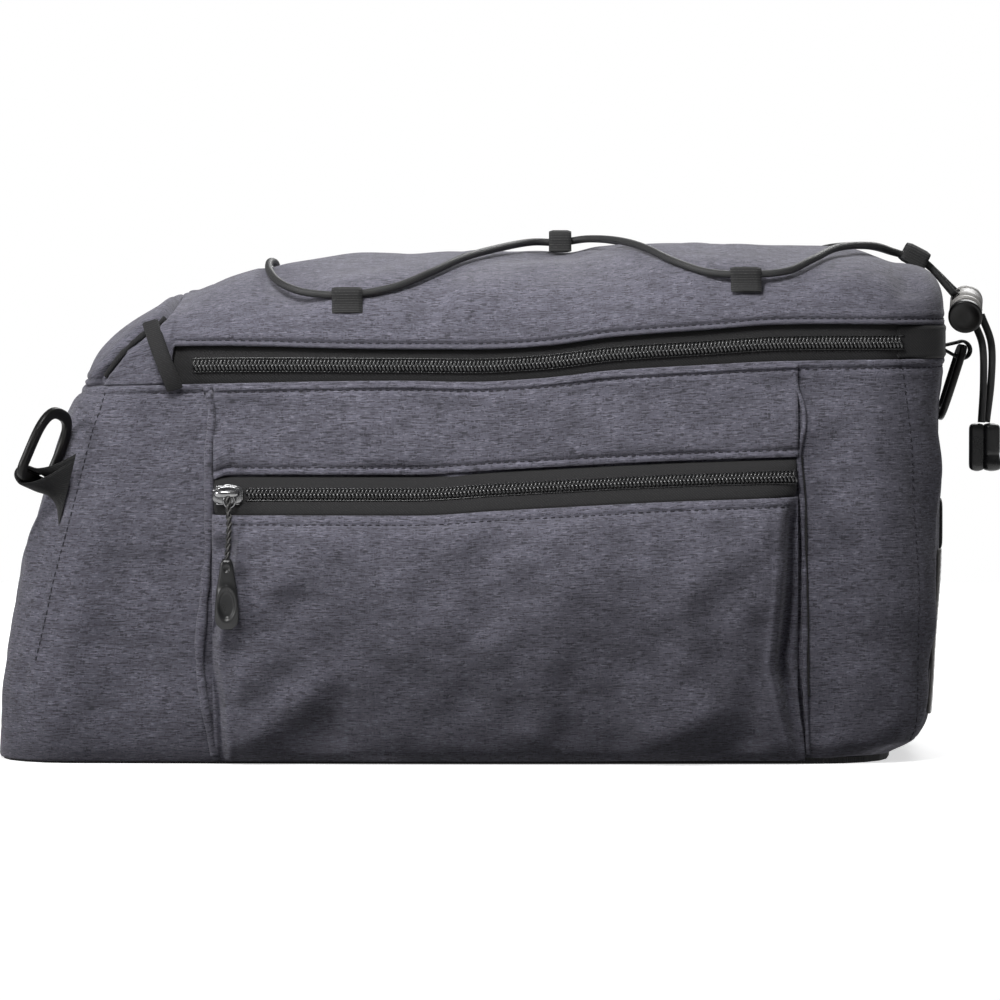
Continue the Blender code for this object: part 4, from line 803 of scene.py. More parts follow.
side_places = spaced((-1.0, -0.60, 62), (-0.60, 0.78, 46), (0.78, 1.0, 34))
wall_columns = columns_round(side_places, CORNER_COLUMNS, np.linspace(-1.0, 1.0, WALL_END))
wall_heights = spaced((0.0, 0.06, 10), (0.06, 0.94, 84), (0.94, 1.0, 26))
wall = wall_grid(wall_columns, wall_heights)
wall_normals = normals_of(wall, wrap=True)
x, y, z = wall[..., 0], wall[..., 1], wall[..., 2]
facing = np.abs(wall_normals[..., 1]) ** 3
amount = np.zeros(x.shape)
for seam, depth in ((FRONT_SEAM, 0.0011), (REAR_SEAM, 0.0006)):
    distance, _ = from_line(x, z, seam)
    amount += facing * (-depth * bump_at(distance, 0.0009) + 0.4 * depth * bump_at(distance - 0.0035, 0.0025)
                        + 0.4 * depth * bump_at(distance + 0.0035, 0.0025))
below = rim_height(x) - z
amount += rolled_edge(below, WALL_HEM)
amount += facing * folds(x, z, BODY_FOLDS) * np.where(y < 0, 1.0, 0.7)
calm = ease(below / 0.020) * ease((z - 0.003) / 0.012)
amount += calm * (0.00085 * ripple(x + y, z + 0.3 * y, 0.045, 3)
                  + 0.00030 * ripple(x - y, z + 0.3 * y, 0.018, 4))
amount += calm * 0.0010 * (1 - facing) * bump_at(np.abs(y) - 0.060, 0.006)
wall = wall + wall_normals * amount[..., None]
wall_normals = normals_of(wall, wrap=True)

roll = np.linspace(0.0, 1.0, 5)[1:]
top = wall[-1]
inner_heights = np.array([1.0, 0.985, 0.955, 0.93, 0.5, 0.05, 0.0])
inner = wall_grid(wall_columns, inner_heights, np.array([EDGE_WALL] * 3 + [WALL] * 4)[:, None])
rim_roll = np.stack([top + (inner[0] - top) * s + (0, 0, 0.00022 * math.sin(math.pi * s)) for s in roll[:-1]])
whole = np.concatenate([wall, rim_roll, inner, wall[:1]])
add_piece("body_wall", [grid_part(whole, wrap=True)], FABRIC, ["body_shell"])
print("wall relief, mm:", np.round([amount.min() * 1e3, amount.max() * 1e3], 2))

# %% [markdown]
# ## Lid
# The lid is a padded dome sewn to the wall at its front and zipped round the other sides. Each ring is the
# rim's outline drawn in towards a ridge while it rises, by the cosine and the sine of one angle raised to a
# power, which gives a boxy dome at the rear and a sloping one at the front. The hood's seam is pressed in.

# %% Lid
HOOD_SEAM = near((93, 392), (100, 378), (122, 350), (142, 333), (150, 328), (162, 317), (172, 300))
LID_FOLDS = (((250, 285), (330, 300), 0.010, -0.0016), ((180, 300), (300, 322), 0.009, 0.0012),
             ((350, 318), (520, 300), 0.012, 0.0012), ((560, 262), (640, 300), 0.012, -0.0014),
             ((640, 262), (720, 262), 0.010, 0.0010), ((745, 305), (830, 290), 0.010, -0.0014),
             ((850, 262), (900, 300), 0.010, 0.0012), ((200, 322), (260, 290), 0.008, -0.0010),
             ((455, 275), (475, 325), 0.006, 0.0012), ((415, 280), (440, 330), 0.006, -0.0009),
             ((370, 312), (420, 330), 0.006, 0.0008), ((900, 280), (938, 310), 0.007, -0.0012))


def lid_grid(columns, angles, inset=0.0):
    x, y = plan(columns, 1.0, inset)
    front, rear = body_ends(1.0)
    ridge = LENGTH * (np.array([SPINE_FRONT, SPINE_REAR]) - 0.5)
    core = np.clip(x, *ridge)
    to_front = np.clip((ridge[0] - x) / (ridge[0] - front), 0.0, 1.0) ** 2
    to_rear = np.clip((x - ridge[1]) / (rear - ridge[1]), 0.0, 1.0) ** 2
    n = 2.4 + to_front * (1.54 - 2.4) + to_rear * (3.6 - 2.4)
    angles = angles[:, None]
    out, up = np.maximum(np.cos(angles), 0.0) ** (2.0 / n), np.sin(angles) ** (2.0 / n)
    rim, base = lid_rim(x), dome_base(x)
    low = np.where(angles < 0.06, rim + (base - rim) * ease(angles / 0.06), base)
    ring_x = core + (x - core) * out
    return np.stack([ring_x, y * out, low + (crown(ring_x) - inset - low) * up], axis=2)


lid_side = spaced((-1.0, -0.66, 92), (-0.66, 1.0, 128))
lid_columns = columns_round(lid_side, CORNER_COLUMNS, np.linspace(-1.0, 1.0, LID_END))
angles = spaced((0.0, 0.10, 14), (0.10, 0.50, 44), (0.50, 1.30, 46), (1.30, 0.5 * math.pi, 12))
lid = lid_grid(lid_columns, angles)
lid_normals = normals_of(lid, wrap=True)
lid_normals[-1] = (0.0, 0.0, 1.0)
x, y, z = lid[..., 0], lid[..., 1], lid[..., 2]
step = np.linalg.norm(np.diff(lid, axis=0), axis=2)
above = np.concatenate([np.zeros((1, lid.shape[1])), np.cumsum(step, axis=0)])
distance, _ = from_line(x, z, HOOD_SEAM)
at_side = ease((np.abs(y) - 0.004) / 0.012) * (lid_normals[..., 0] < 0.95)
amount = at_side * (-0.0046 * bump_at(distance, 0.0011) + 0.0010 * bump_at(distance - 0.0034, 0.0022)
                    + 0.0006 * bump_at(distance + 0.003, 0.002))
amount += rolled_edge(above, LID_HEM)
calm = ease((above - 0.004) / 0.014)
amount += calm * folds(x, z, LID_FOLDS) * ease(np.abs(y) / 0.03)
uneven = 0.0008 * ripple(x, y, 0.060, 8) + 0.00035 * ripple(x, y, 0.022, 9)
amount += calm * uneven * ease((0.19 - np.abs(x)) / 0.02)
gap = np.full(x.shape, 1.0)
for chunk in np.array_split(lacing[::4], 8):
    offset = lid[:, :, None] - chunk[None, None]
    gap = np.minimum(gap, np.sqrt((offset**2).sum(-1).min(-1)))
amount -= 0.0006 * bump_at(gap, 0.004)
plain_lid, plain_normals = lid, lid_normals
lid = lid + lid_normals * amount[..., None]
lid_normals = normals_of(lid, wrap=True)
lid_normals[-1] = (0.0, 0.0, 1.0)
inner = lid_grid(lid_columns, np.array([0.0, 0.03, 0.14, 0.3, 0.7, 1.2, 0.5 * math.pi]), 0.0012)
inner[3:] = lid_grid(lid_columns, np.array([0.3, 0.7, 1.2, 0.5 * math.pi]), WALL)
add_piece("lid_dome", [grid_part(np.concatenate([inner[::-1], lid]), wrap=True)], FABRIC, ["lid"])
print("lid relief, mm:", np.round([amount.min() * 1e3, amount.max() * 1e3], 2))

# %% [markdown]
# ## Pockets and the panels above them
# A side pocket is a bellows: its front swells out and its sides fold back to the wall. The swell over the
# height times the swell across gives the front. Past a line near each end the front drops back to the wall,
# which makes the folded gusset, and its lower rear corner runs down into the seam.

# %% Pockets and upper panels
POCKET_FOLDS = (((225, 760), (345, 672), 0.007, 0.0022), ((262, 770), (360, 716), 0.008, -0.0016),
                ((628, 760), (748, 694), 0.008, 0.0019), ((690, 772), (770, 716), 0.008, -0.0016),
                ((236, 735), (240, 660), 0.004, 0.0012), ((300, 560), (520, 590), 0.014, -0.0012),
                ((420, 640), (700, 610), 0.016, 0.0013), ((560, 560), (740, 545), 0.012, -0.0009),
                ((770, 540), (700, 640), 0.010, -0.0013), ((275, 590), (300, 690), 0.010, -0.0012))
LEFT_FACE = near((236, 498), (234, 530), (231, 560), (223, 605), (213, 640), (214, 670), (219, 702),
                 (222, 768))
RIGHT_FACE = near((787, 495), (783, 570), (779, 624), (775, 663), (783, 700), (792, 733), (805, 768))


def pocket_rim(x):
    return POCKET_TOP * read(POCKET_RIM, (np.asarray(x) - POCKET_FRONT) / (POCKET_REAR - POCKET_FRONT))


def pocket_face(x, height):
    """How far the pocket's front is from the middle plane, at a share of the pocket's height."""
    share = (np.asarray(x) - POCKET_FRONT) / (POCKET_REAR - POCKET_FRONT)
    z = POCKET_FOOT + height * (pocket_rim(x) - POCKET_FOOT)
    swell = POCKET_DEPTH * read(SWELL, height) * read(SIDES, share)
    return side_wall(x, z) + CLEARANCE + 0.5 * POCKET_WALL + swell


pockets, panels = {}, {}
for side, label in NEAR_AND_FAR:
    seed = 31 + 10 * side
    across = spaced((0.010, 0.09, 46), (0.09, 0.86, 116), (0.86, 1.0, 64))
    upward = spaced((0.0, 0.06, 12), (0.06, 0.93, 66), (0.93, 1.0, 24))
    x = POCKET_FRONT + across[None] * (POCKET_REAR - POCKET_FRONT)
    x = x + 0.0034 * ease((across - 0.93) / 0.07) * ease(1.0 - upward / 0.30)[:, None]
    z = POCKET_FOOT + upward[:, None] * (pocket_rim(x) - POCKET_FOOT)
    out = pocket_face(x, upward[:, None] + 0.0 * x)
    inside = ease((across - 0.010) / 0.02) * ease((1.0 - across) / 0.02)
    left, _ = from_line(x, z, LEFT_FACE)
    right, _ = from_line(x, z, RIGHT_FACE)
    below = pocket_rim(x) - z
    full = ease(below / 0.010)
    least = side_wall(x, z) + CLEARANCE + 0.0008
    tuck = ease((below - 0.0045) / 0.010)
    rise = out - least
    amount = -0.50 * rise * tuck * (1.0 - ease(left / 0.0026))
    amount -= 0.78 * rise * ease((below - 0.002) / 0.008) * ease((right + 0.0004) / 0.0026)
    amount += tuck * (0.0007 * bump_at(left - 0.0030, 0.0018) - 0.0016 * bump_at(left + 0.0007, 0.0008))
    amount += ease(below / 0.006) * (0.0010 * bump_at(right + 0.0022, 0.0018)
                                     + 0.0020 * bump_at(right - 0.0066, 0.0020)
                                     - 0.0012 * bump_at(right - 0.0034, 0.0010))
    amount += inside * full * folds(x, z, POCKET_FOLDS) * ease(left / 0.002) * ease(-right / 0.002)
    amount += rolled_edge(below, POCKET_HEM) * inside
    amount += inside * full * ease((z - POCKET_FOOT) / 0.01) * (
        0.0010 * ripple(x, z, 0.050, seed) + 0.0004 * ripple(x, z, 0.018, seed + 1))
    front = np.stack([x, side * np.maximum(out + amount, least), z], axis=2)
    back = front - (0.0, side * POCKET_WALL, 0.0)
    back[..., 1] = side * np.maximum(np.abs(back[..., 1]), side_wall(x, z) + CLEARANCE)
    pockets[side] = (front, normals_of(front) * -side)
    add_piece("pocket_front_" + label, closed_sheet(front, back), FABRIC, ["pocket_" + label])

    across, upward = np.linspace(0.012, 1.0, 150), spaced((0.0, 0.12, 14), (0.12, 0.88, 20), (0.88, 1.0, 14))
    x = POCKET_FRONT + across[None] * (POCKET_REAR - POCKET_FRONT) + 0.0 * upward[:, None]
    low, high = pocket_rim(x) + POCKET_OPENING, rim_height(x) - PANEL_GAP
    low = low - 0.0022 * ease((POCKET_FRONT + 0.0095 - x) / 0.008)
    z = low + upward[:, None] * (high - low)
    amount = rolled_edge(z - low, PANEL_HEM) + rolled_edge(high - z, LID_HEM)
    amount += ease((z - low) / 0.008) * ease((high - z) / 0.008) * (
        0.0009 * ripple(x, z, 0.045, seed + 5) + 0.0003 * ripple(x, z, 0.017, seed + 6) + 0.0006)
    wall_y = side_wall(x, z) + CLEARANCE
    face = np.stack([x, side * (wall_y + PANEL_WALL + np.maximum(amount, -0.0005)), z], axis=2)
    rear = np.stack([x, side * wall_y, z], axis=2)
    panels[side] = (face, normals_of(face) * -side)
    add_piece("panel_" + label, closed_sheet(face, rear), FABRIC, ["upper_panel_" + label])
print("pocket stands out", round((float(np.abs(pockets[-1][0][..., 1]).max()) - 0.5 * WIDTH) * 1e3, 1), "mm")

# %% [markdown]
# ## Zips
# A coil zip is two nylon spirals, each sewn to a tape, whose turns hook into each other. A bump map would go
# flat at the edge and lose the glints, so every turn is a small curved bar, made once and copied along the
# line. The tape is a grid between the two rims that sinks a little where it meets the cloth.

# %% Zip turns
def zip_turn(reach, thick):
    """Half a turn of the spiral: an arch from the tape's side over to just past the middle."""
    share = np.linspace(0.0, 1.0, 7)
    path = np.column_stack([0.22 * thick * np.cos(math.pi * share), reach * (1.0 - 1.12 * share),
                            thick * (0.15 + 0.85 * np.sin(math.pi * (0.12 + 0.76 * share)))])
    return tube(path, 0.44 * thick * np.array([0.8, 0.95, 1.0, 1.0, 1.1, 1.15, 0.8]), 6, start=(1, 0, 0))


def zip_coil(name, line, outwards, replaced, pitch=0.00150, reach=0.0022, thick=0.00125):
    """Two rows of turns along a line, half a pitch apart, with the sewing threads beside them."""
    at = np.arange(0.5 * pitch, run_along(line)[-1] - pitch, pitch)
    turns = []
    for way, shift in ((1.0, 0.0), (-1.0, 0.5 * pitch)):
        where, frames = frames_on(line, outwards, at + shift)
        frames[:, 1] *= way
        turns.append(scatter(zip_turn(reach, thick), where, frames))
    beside = np.cross(unit(outwards), unit(np.gradient(line, axis=0)))
    turns += [tube(line + beside * way * (reach + 0.00045), 0.00022, 6) for way in (1.0, -1.0)]
    return add_piece(name, turns, COIL_PLASTIC, replaced, merge=1e-8)


def tape_rows(low, high, rows):
    """Rows of points, evenly spaced between two lines of points."""
    share = np.linspace(0.0, 1.0, rows)[:, None, None]
    return low[None] * (1.0 - share) + high[None] * share


# %% Lid zip
def rim_line(inset, start, height):
    """The rim's outline from the near front end of the zip round the rear to the far one."""
    columns = columns_round(np.linspace(-1.0, 1.0, RIM_SIDE), CORNER_COLUMNS, np.linspace(-1.0, 1.0, RIM_END))
    x, y = plan(columns, 1.0, inset)
    count = 2 * (RIM_SIDE + CORNER_COLUMNS) + RIM_END
    x, y = x[0, :count], y[0, :count]
    keep = x >= start
    return np.column_stack([x[keep], y[keep], height(x[keep])])


tape_inset = EDGE_WALL + 2 * CLEARANCE
low = rim_line(tape_inset, ZIP_START - 1.3 * RAMP, lambda x: rim_height(x) - 0.002)
high = rim_line(tape_inset, ZIP_START - 1.3 * RAMP, lambda x: lid_rim(x) + 0.002)
face = tape_rows(low, high, 13)
width = np.linspace(-1.0, 1.0, 13)[:, None]
face_normals = normals_of(face)
sink = 0.0005 * bump_at(width, 0.30) - 0.0011 * bump_at(np.abs(width) - 1.0, 0.22)
face = face + face_normals * sink[..., None]
back = face - face_normals * TAPE
add_piece("lid_tape", closed_sheet(face, back), TAPE_CLOTH, ["lid_zip_tape"])
middle_row, middle_normals = face[6], face_normals[6]
for side, label in NEAR_AND_FAR:
    keep = (middle_row[:, 1] * side > 0) & (middle_row[:, 0] > ZIP_START + 0.004) & (middle_row[:, 0] < 0.171)
    line, out = middle_row[keep], middle_normals[keep]
    if side > 0:
        line, out = line[::-1], out[::-1]
    zip_coil("lid_coil_" + label, line + out * 0.0001, out, ["lid_zip_coil_" + label])

# %% Pocket zips
pocket_tapes = {}
for side, label in NEAR_AND_FAR:
    x = np.linspace(POCKET_FRONT + 0.0031, POCKET_REAR - 0.0006, 200)
    low_z, high_z = pocket_rim(x) + CLEARANCE, pocket_rim(x) + POCKET_OPENING - CLEARANCE
    low_y = pocket_face(x, 1.0) - 0.5 * (POCKET_WALL - TAPE)
    high_y = side_wall(x, high_z) + CLEARANCE + 0.5 * (PANEL_WALL + TAPE)
    low, high = np.column_stack([x, side * low_y, low_z]), np.column_stack([x, side * high_y, high_z])
    face = tape_rows(low, high, 13)
    out = normals_of(face) * (1.0 if side < 0 else -1.0)
    sink = 0.0004 * bump_at(width, 0.3) - 0.0008 * bump_at(np.abs(width) - 1.0, 0.22)
    face = face + out * sink[..., None]
    add_piece("pocket_tape_" + label, closed_sheet(face, face - out * TAPE), TAPE_CLOTH,
              ["pocket_zip_tape_" + label])
    keep = x > POCKET_FRONT + 0.0147
    pocket_tapes[side] = (x, face, out)
    zip_coil("pocket_coil_" + label, face[6][keep] + out[6][keep] * 0.0001, out[6][keep],
             ["pocket_zip_coil_" + label])

# %% [markdown]
# ## Stitches
# Every panel is topstitched beside its folded edge. A stitch is a short thread that dives into the cloth at
# both ends, so it is a small bent tube. It is copied along rows of the grids, where the surface is known.

# %% Stitches
def one_stitch(length=0.0021, thick=0.00025):
    """A thread that stands up in the middle and dives under the cloth at both ends."""
    share = np.linspace(-1.0, 1.0, 5)
    path = np.column_stack([0.5 * length * share, 0.0 * share, thick * (0.75 - 1.5 * share**4)])
    return tube(path, thick * np.array([0.6, 1.0, 1.0, 1.0, 0.6]), 6, start=(0, 1, 0))


STITCH, STITCH_PITCH = one_stitch(), 0.0031


def sew(line, normals, pitch=STITCH_PITCH, start=0.0):
    """Stitches along a line of surface points."""
    at = np.arange(start + 0.5 * pitch, run_along(line)[-1], pitch)
    return scatter(STITCH, *frames_on(line, normals, at))


def sew_flat(grid, normals, line, side, pitch=STITCH_PITCH):
    """Stitches along a line that is known by its (x, z) places on one side."""
    fine = smooth_line(line, 90)
    points, out = on_surface(grid, normals, fine[:, 0], fine[:, 1], side)
    return sew(points, out, pitch)


def row_at(grid, normals, value, wanted):
    """The line of points where a value that grows up each column reaches the wanted one."""
    index = np.abs(value - wanted).argmin(axis=0)
    pick = np.arange(grid.shape[1])
    return grid[index, pick], normals[index, pick]


wall_below = rim_height(wall[..., 0]) - wall[..., 2]
rim_points, rim_out = row_at(wall, wall_normals, wall_below, WALL_HEM)
split, stitches = len(side_places), []
count = 2 * (split + CORNER_COLUMNS) + WALL_END
near_x = rim_points[:split, 0]
front_part = np.flatnonzero(near_x < POCKET_FRONT - 0.002)
rear_first = int(np.argmax(near_x > POCKET_REAR + 0.002))
for run in (front_part, np.arange(rear_first, count - rear_first), count - 1 - front_part[::-1]):
    stitches.append(sew(rim_points[run], rim_out[run]))
for side in (-1, 1):
    stitches.append(sew_flat(wall, wall_normals, REAR_SEAM, side))
    stitches.append(sew_flat(wall, wall_normals, FRONT_SEAM[:7] + (0.0030, 0.0), side))
lid_line, lid_out = row_at(lid, lid_normals, above, LID_HEM)
ring = lid_line[:, 0] > ZIP_START
first_part = np.arange(len(ring)) < 2 * (len(lid_side) + CORNER_COLUMNS) + LID_END
stitches.append(sew(lid_line[ring & first_part], lid_out[ring & first_part], start=0.001))
for side in (-1, 1):
    for (grid, out), edge, wanted, skip in ((pockets[side], pocket_rim, -POCKET_HEM - 0.0002, 6),
                                            (panels[side], pocket_rim, POCKET_OPENING + PANEL_HEM, 3),
                                            (panels[side], rim_height, -0.0034, 3)):
        line, normal = row_at(grid, out, grid[..., 2] - edge(grid[..., 0]), wanted)
        stitches.append(sew(line[skip:-skip], normal[skip:-skip]))
add_piece("topstitching", stitches, THREAD, merge=1e-8)

# %% [markdown]
# ## Piping and bands
# Where the side panels meet the pocket, the seam's turned edge stands up as a soft piping. A dark strip of
# tape lies in the hood's groove and beside the pocket: partly the zip tape's end, partly painted shade that
# stands in for the shadow in these grooves. Black bands hide the ends of the lid's zip. Each is a profile
# carried along a line that lies on the cloth.

# %% Piping, bands and straps
def strap(path, across, thickness, ribs=0.0, rib_pitch=0.00105, columns=7, spacing=0.00025):
    """Webbing along a path: rounded edges, and ribs as a wave in its thickness. UVs are lengths."""
    path = np.asarray(path, float)
    steps = max(int(run_along(path)[-1] / spacing), 8)
    both = smooth_line(np.concatenate([path, np.broadcast_to(across, path.shape)], axis=1)
                       if np.ndim(across) > 1 else path, steps)
    line = both[:, :3]
    wide = both[:, 3:] if np.ndim(across) > 1 else np.broadcast_to(across, line.shape)
    run = np.gradient(line, axis=0)
    normal = unit(np.cross(run, wide))
    length = run_along(line)
    place = np.linspace(-1.0, 1.0, columns)
    thick = 0.5 * thickness * np.sqrt(np.maximum(1.0 - np.abs(place) ** 6, 0.02))
    wave = 1.0 + ribs * np.cos(2 * math.pi * length / rib_pitch)[:, None]
    lift = (thick[None] * wave)[..., None] * normal[:, None]
    flat = line[:, None] + 0.5 * place[None, :, None] * wide[:, None]
    ring = np.concatenate([flat + lift, (flat - lift)[:, ::-1]], axis=1)
    ends = [np.broadcast_to(ring[k].mean(0), ring[:1].shape) for k in (0, -1)]
    ring = np.concatenate([ends[0], ring, ends[1]])
    size = float(np.linalg.norm(wide[0]))
    u = np.concatenate([0.5 * size * place, 0.5 * size * place[::-1], 0.5 * size * place[:1]])
    v = np.concatenate([length[:1], length, length[-1:]])
    return grid_part(ring, np.stack(np.meshgrid(u, v), axis=2), wrap=True)


def piping(grid, normals, line, side, radius, lift):
    """A soft roll along a line on the cloth, with a little unevenness in its thickness."""
    fine = smooth_line(line, 120)
    points, out = on_surface(grid, normals, fine[:, 0], fine[:, 1], side)
    points = smoothed(points, 4)
    share = np.linspace(0.0, 1.0, len(points))
    uneven = radius * (1.0 + 0.16 * ripple(share, 0 * share, 0.12, 5))
    roll_points, quads, corners = tube(points + out * lift, uneven, 12, squeeze=0.7, start=(0, 1, 0))
    return roll_points, quads, corners * (2 * math.pi * radius, 1.0)


for side, label in NEAR_AND_FAR:
    add_piece("side_piping_" + label,
              [piping(wall, wall_normals, LEFT_EDGE, side, 0.0017, 0.0014),
               piping(wall, wall_normals, RIGHT_EDGE, side, 0.0010, 0.0008)], FABRIC)
    # Dark tape in the hood's groove and beside the pocket's rear edge: partly zip tape, partly painted shade
    # of the groove.
    add_piece("binding_and_shade_strip_" + label,
              [piping(plain_lid, plain_normals, HOOD_SEAM[1:6], side, 0.0011, -0.0008),
               piping(wall, wall_normals, RIGHT_EDGE[4:-1] + (0.0012, 0.0), side, 0.0005, 0.0004)],
              TAPE_CLOTH)
    share = np.linspace(-0.08, 1.0, 12)
    x = ZIP_START - RAMP + 0.002 - 0.0095 * share
    z = rim_height(x) + CLEARANCE + 0.0245 * share
    points, out = on_surface(lid, lid_normals, x, z, side)
    points[:2, 1] = side * np.maximum(np.abs(points[:2, 1]), side_wall(x[:2], z[:2]) + 0.0003)
    taut = np.abs(np.polyval(np.polyfit(share, points[:, 1], 2), share))
    points[:, 1] = side * (taut + max(0.0, float((np.abs(points[:, 1]) - taut).max())) - 0.0003)
    add_piece("zip_end_" + label, [strap(points + (0.0, side * 0.0010, 0.0), (0.0062, 0.0, 0.0018), 0.0016)],
              TAPE_CLOTH, ["lid_zip_end_" + label])

corner_x = body_ends(1.0)[1] - END_BOW - CORNER_RADIUS
low = rim_line(-0.0008, corner_x + 0.009, lambda x: rim_height(x) + CLEARANCE)
high = rim_line(-0.0008, corner_x + 0.009, lambda x: lid_rim(x) - CLEARANCE)
band = tape_rows(low, high, 15)
band_out = normals_of(band)
edge = np.linspace(-1.0, 1.0, 15)[:, None]
swell = 0.0004 * (1.0 - edge**4) + 0.0005 * bump_at(np.abs(edge) - 0.8, 0.10) - 0.0004
band = band + band_out * swell[..., None]
share = np.linspace(0.0, 1.0, band.shape[1])
tucked = 0.0025 * (1.0 - ease(np.minimum(share, 1.0 - share) / 0.10))
band = band - band_out * tucked[None, :, None]
add_piece("rear_band", closed_sheet(band, band - band_out * 0.0020), TAPE_CLOTH, ["rear_zip_band"])

# %% Loops on the lid
ARCH = ((-1.0, 0.03), (-0.7, 0.06), (-0.4, 0.18), (-0.1, 0.50), (0.15, 0.88), (0.38, 1.0), (0.62, 0.90),
        (0.82, 0.55), (0.93, 0.15), (1.0, 0.0))
CENTRE_ARCH = ((-1.69, 0.0), (-1.44, 0.05), (-1.31, 0.35), (-1.25, 0.70), (-0.94, 0.98), (0.0, 1.05),
               (0.94, 0.98), (1.25, 0.70), (1.31, 0.35), (1.44, 0.05), (1.69, 0.0))
TAIL_ARCH = ((-1.9, 0.0), (-1.45, 0.02), (-1.25, 0.40), (-1.10, 0.85), (-0.6, 1.02), (0.0, 1.05),
             (0.6, 1.02), (1.10, 0.85), (1.25, 0.40), (1.45, 0.02), (1.9, 0.0))
for x, stage, label in ((-0.048, 3.0, "front"), (0.108, 1.0, "rear")):
    for side, name in NEAR_AND_FAR:
        share = side * float(np.interp(stage, ROUTE[:, 0], ROUTE[:, 1]))
        centre, out = on_dome(x, share)
        up = unit(np.cross(out, (1.0, 0.0, 0.0)))
        up = up * np.sign(up[2])
        fan = np.linspace(0.0, 1.0, 400) * side
        surface = dome(np.full(400, x), fan) - centre
        height, drop = surface @ up, -(surface @ out)
        path = []
        for place, lift in ARCH:
            shift = 0.5 * (place - 0.38) * 0.0115
            fall = drop[np.abs(height - shift).argmin()]
            path.append(centre + up * shift + out * (0.0009 + lift * 0.0040 - fall))
        add_piece("cord_loop_%s_%s" % (label, name), [strap(path, (0.012, 0.0, 0.0), 0.0011, ribs=0.10)],
                  WEBBING, ["lid_loop_%s_%s" % (label, name)])
base = np.array([0.036, 0.0, float(crown(np.array([0.0315, 0.036, 0.0405])).max())])
path = [base + (0.0, 0.0046 * out, 0.0009 + lift * 0.0075) for out, lift in CENTRE_ARCH]
add_piece("crown_loop", [strap(path, (0.009, 0.0, 0.0), 0.0011, ribs=0.10)], WEBBING,
          ["centre_loop"])
centre, out = on_dome(0.1775, 0.0)
slope = unit((1.0, 0.0, -0.52))
centre, out = centre - (0.0, 0.0, float(rear_fall(0.1775)) + 0.0004), unit((0.52, 0.0, 1.0))
path = [centre + (0.0, 0.0052 * place, 0.0) + out * (0.00102 + lift * 0.0064) for place, lift in TAIL_ARCH]
add_piece("rear_loop", [strap(path, slope * 0.0105, 0.0011, ribs=0.10)], WEBBING, ["tail_loop"])

# %% [markdown]
# ## Moulded and metal parts
# Hard parts have rounded edges that catch light. A box with a bevel would do, but a loft is one formula for
# them all: a superellipse, whose power makes it rounder or boxier, is carried along an axis while its two
# half sizes change. Recesses and lips are pressed into the grid afterwards.

# %% Lofts and turned parts
def superellipse(sides, power):
    c, s = np.cos(around(sides)), np.sin(around(sides))
    return np.sign(c) * np.abs(c) ** (2.0 / power), np.sign(s) * np.abs(s) ** (2.0 / power)


def loft_grid(centres, wide, tall, across, up, power=3.5, sides=36):
    """Rings of a superellipse: centre + wide * a * across + tall * b * up."""
    a, b = superellipse(sides, power)
    centres = np.asarray(centres, float)
    wide, tall = np.broadcast_to(wide, len(centres)), np.broadcast_to(tall, len(centres))
    return (centres[:, None] + (wide[:, None] * a)[..., None] * np.asarray(across, float)
            + (tall[:, None] * b)[..., None] * np.asarray(up, float))


def capped(grid):
    """Closes a loft with a point in the middle of each end ring."""
    first, last = grid[:1].mean(1, keepdims=True), grid[-1:].mean(1, keepdims=True)
    near_first, near_last = grid[:1] * 0.9 + first * 0.1, grid[-1:] * 0.9 + last * 0.1
    return grid_part(np.concatenate([np.broadcast_to(first, grid[:1].shape), near_first, grid, near_last,
                                     np.broadcast_to(last, grid[:1].shape)]), wrap=True)


def rounded_ends(length, edge, count=7):
    """Places along an axis and the inset there, for a quarter-round edge at both ends."""
    turn = np.linspace(0.0, 0.5 * math.pi, count)
    start, inset = edge * (1.0 - np.cos(turn)), edge * (1.0 - np.sin(turn))
    return np.concatenate([start, length - start[::-1]]), np.concatenate([inset, inset[::-1]])


def turned_part(profile, centre, axis, sides=48):
    """A solid of revolution about an axis: rows of (place along, radius)."""
    axis = unit(axis)
    first = unit(np.cross(axis, (0.0, 0.0, 1.0)))
    second = np.cross(axis, first)
    turn = around(sides)
    ring = np.cos(turn)[:, None] * first + np.sin(turn)[:, None] * second
    profile = np.asarray(profile, float)
    place, radius = profile.T[..., None, None]
    return grid_part(centre + place * axis + radius * ring[None], wrap=True)


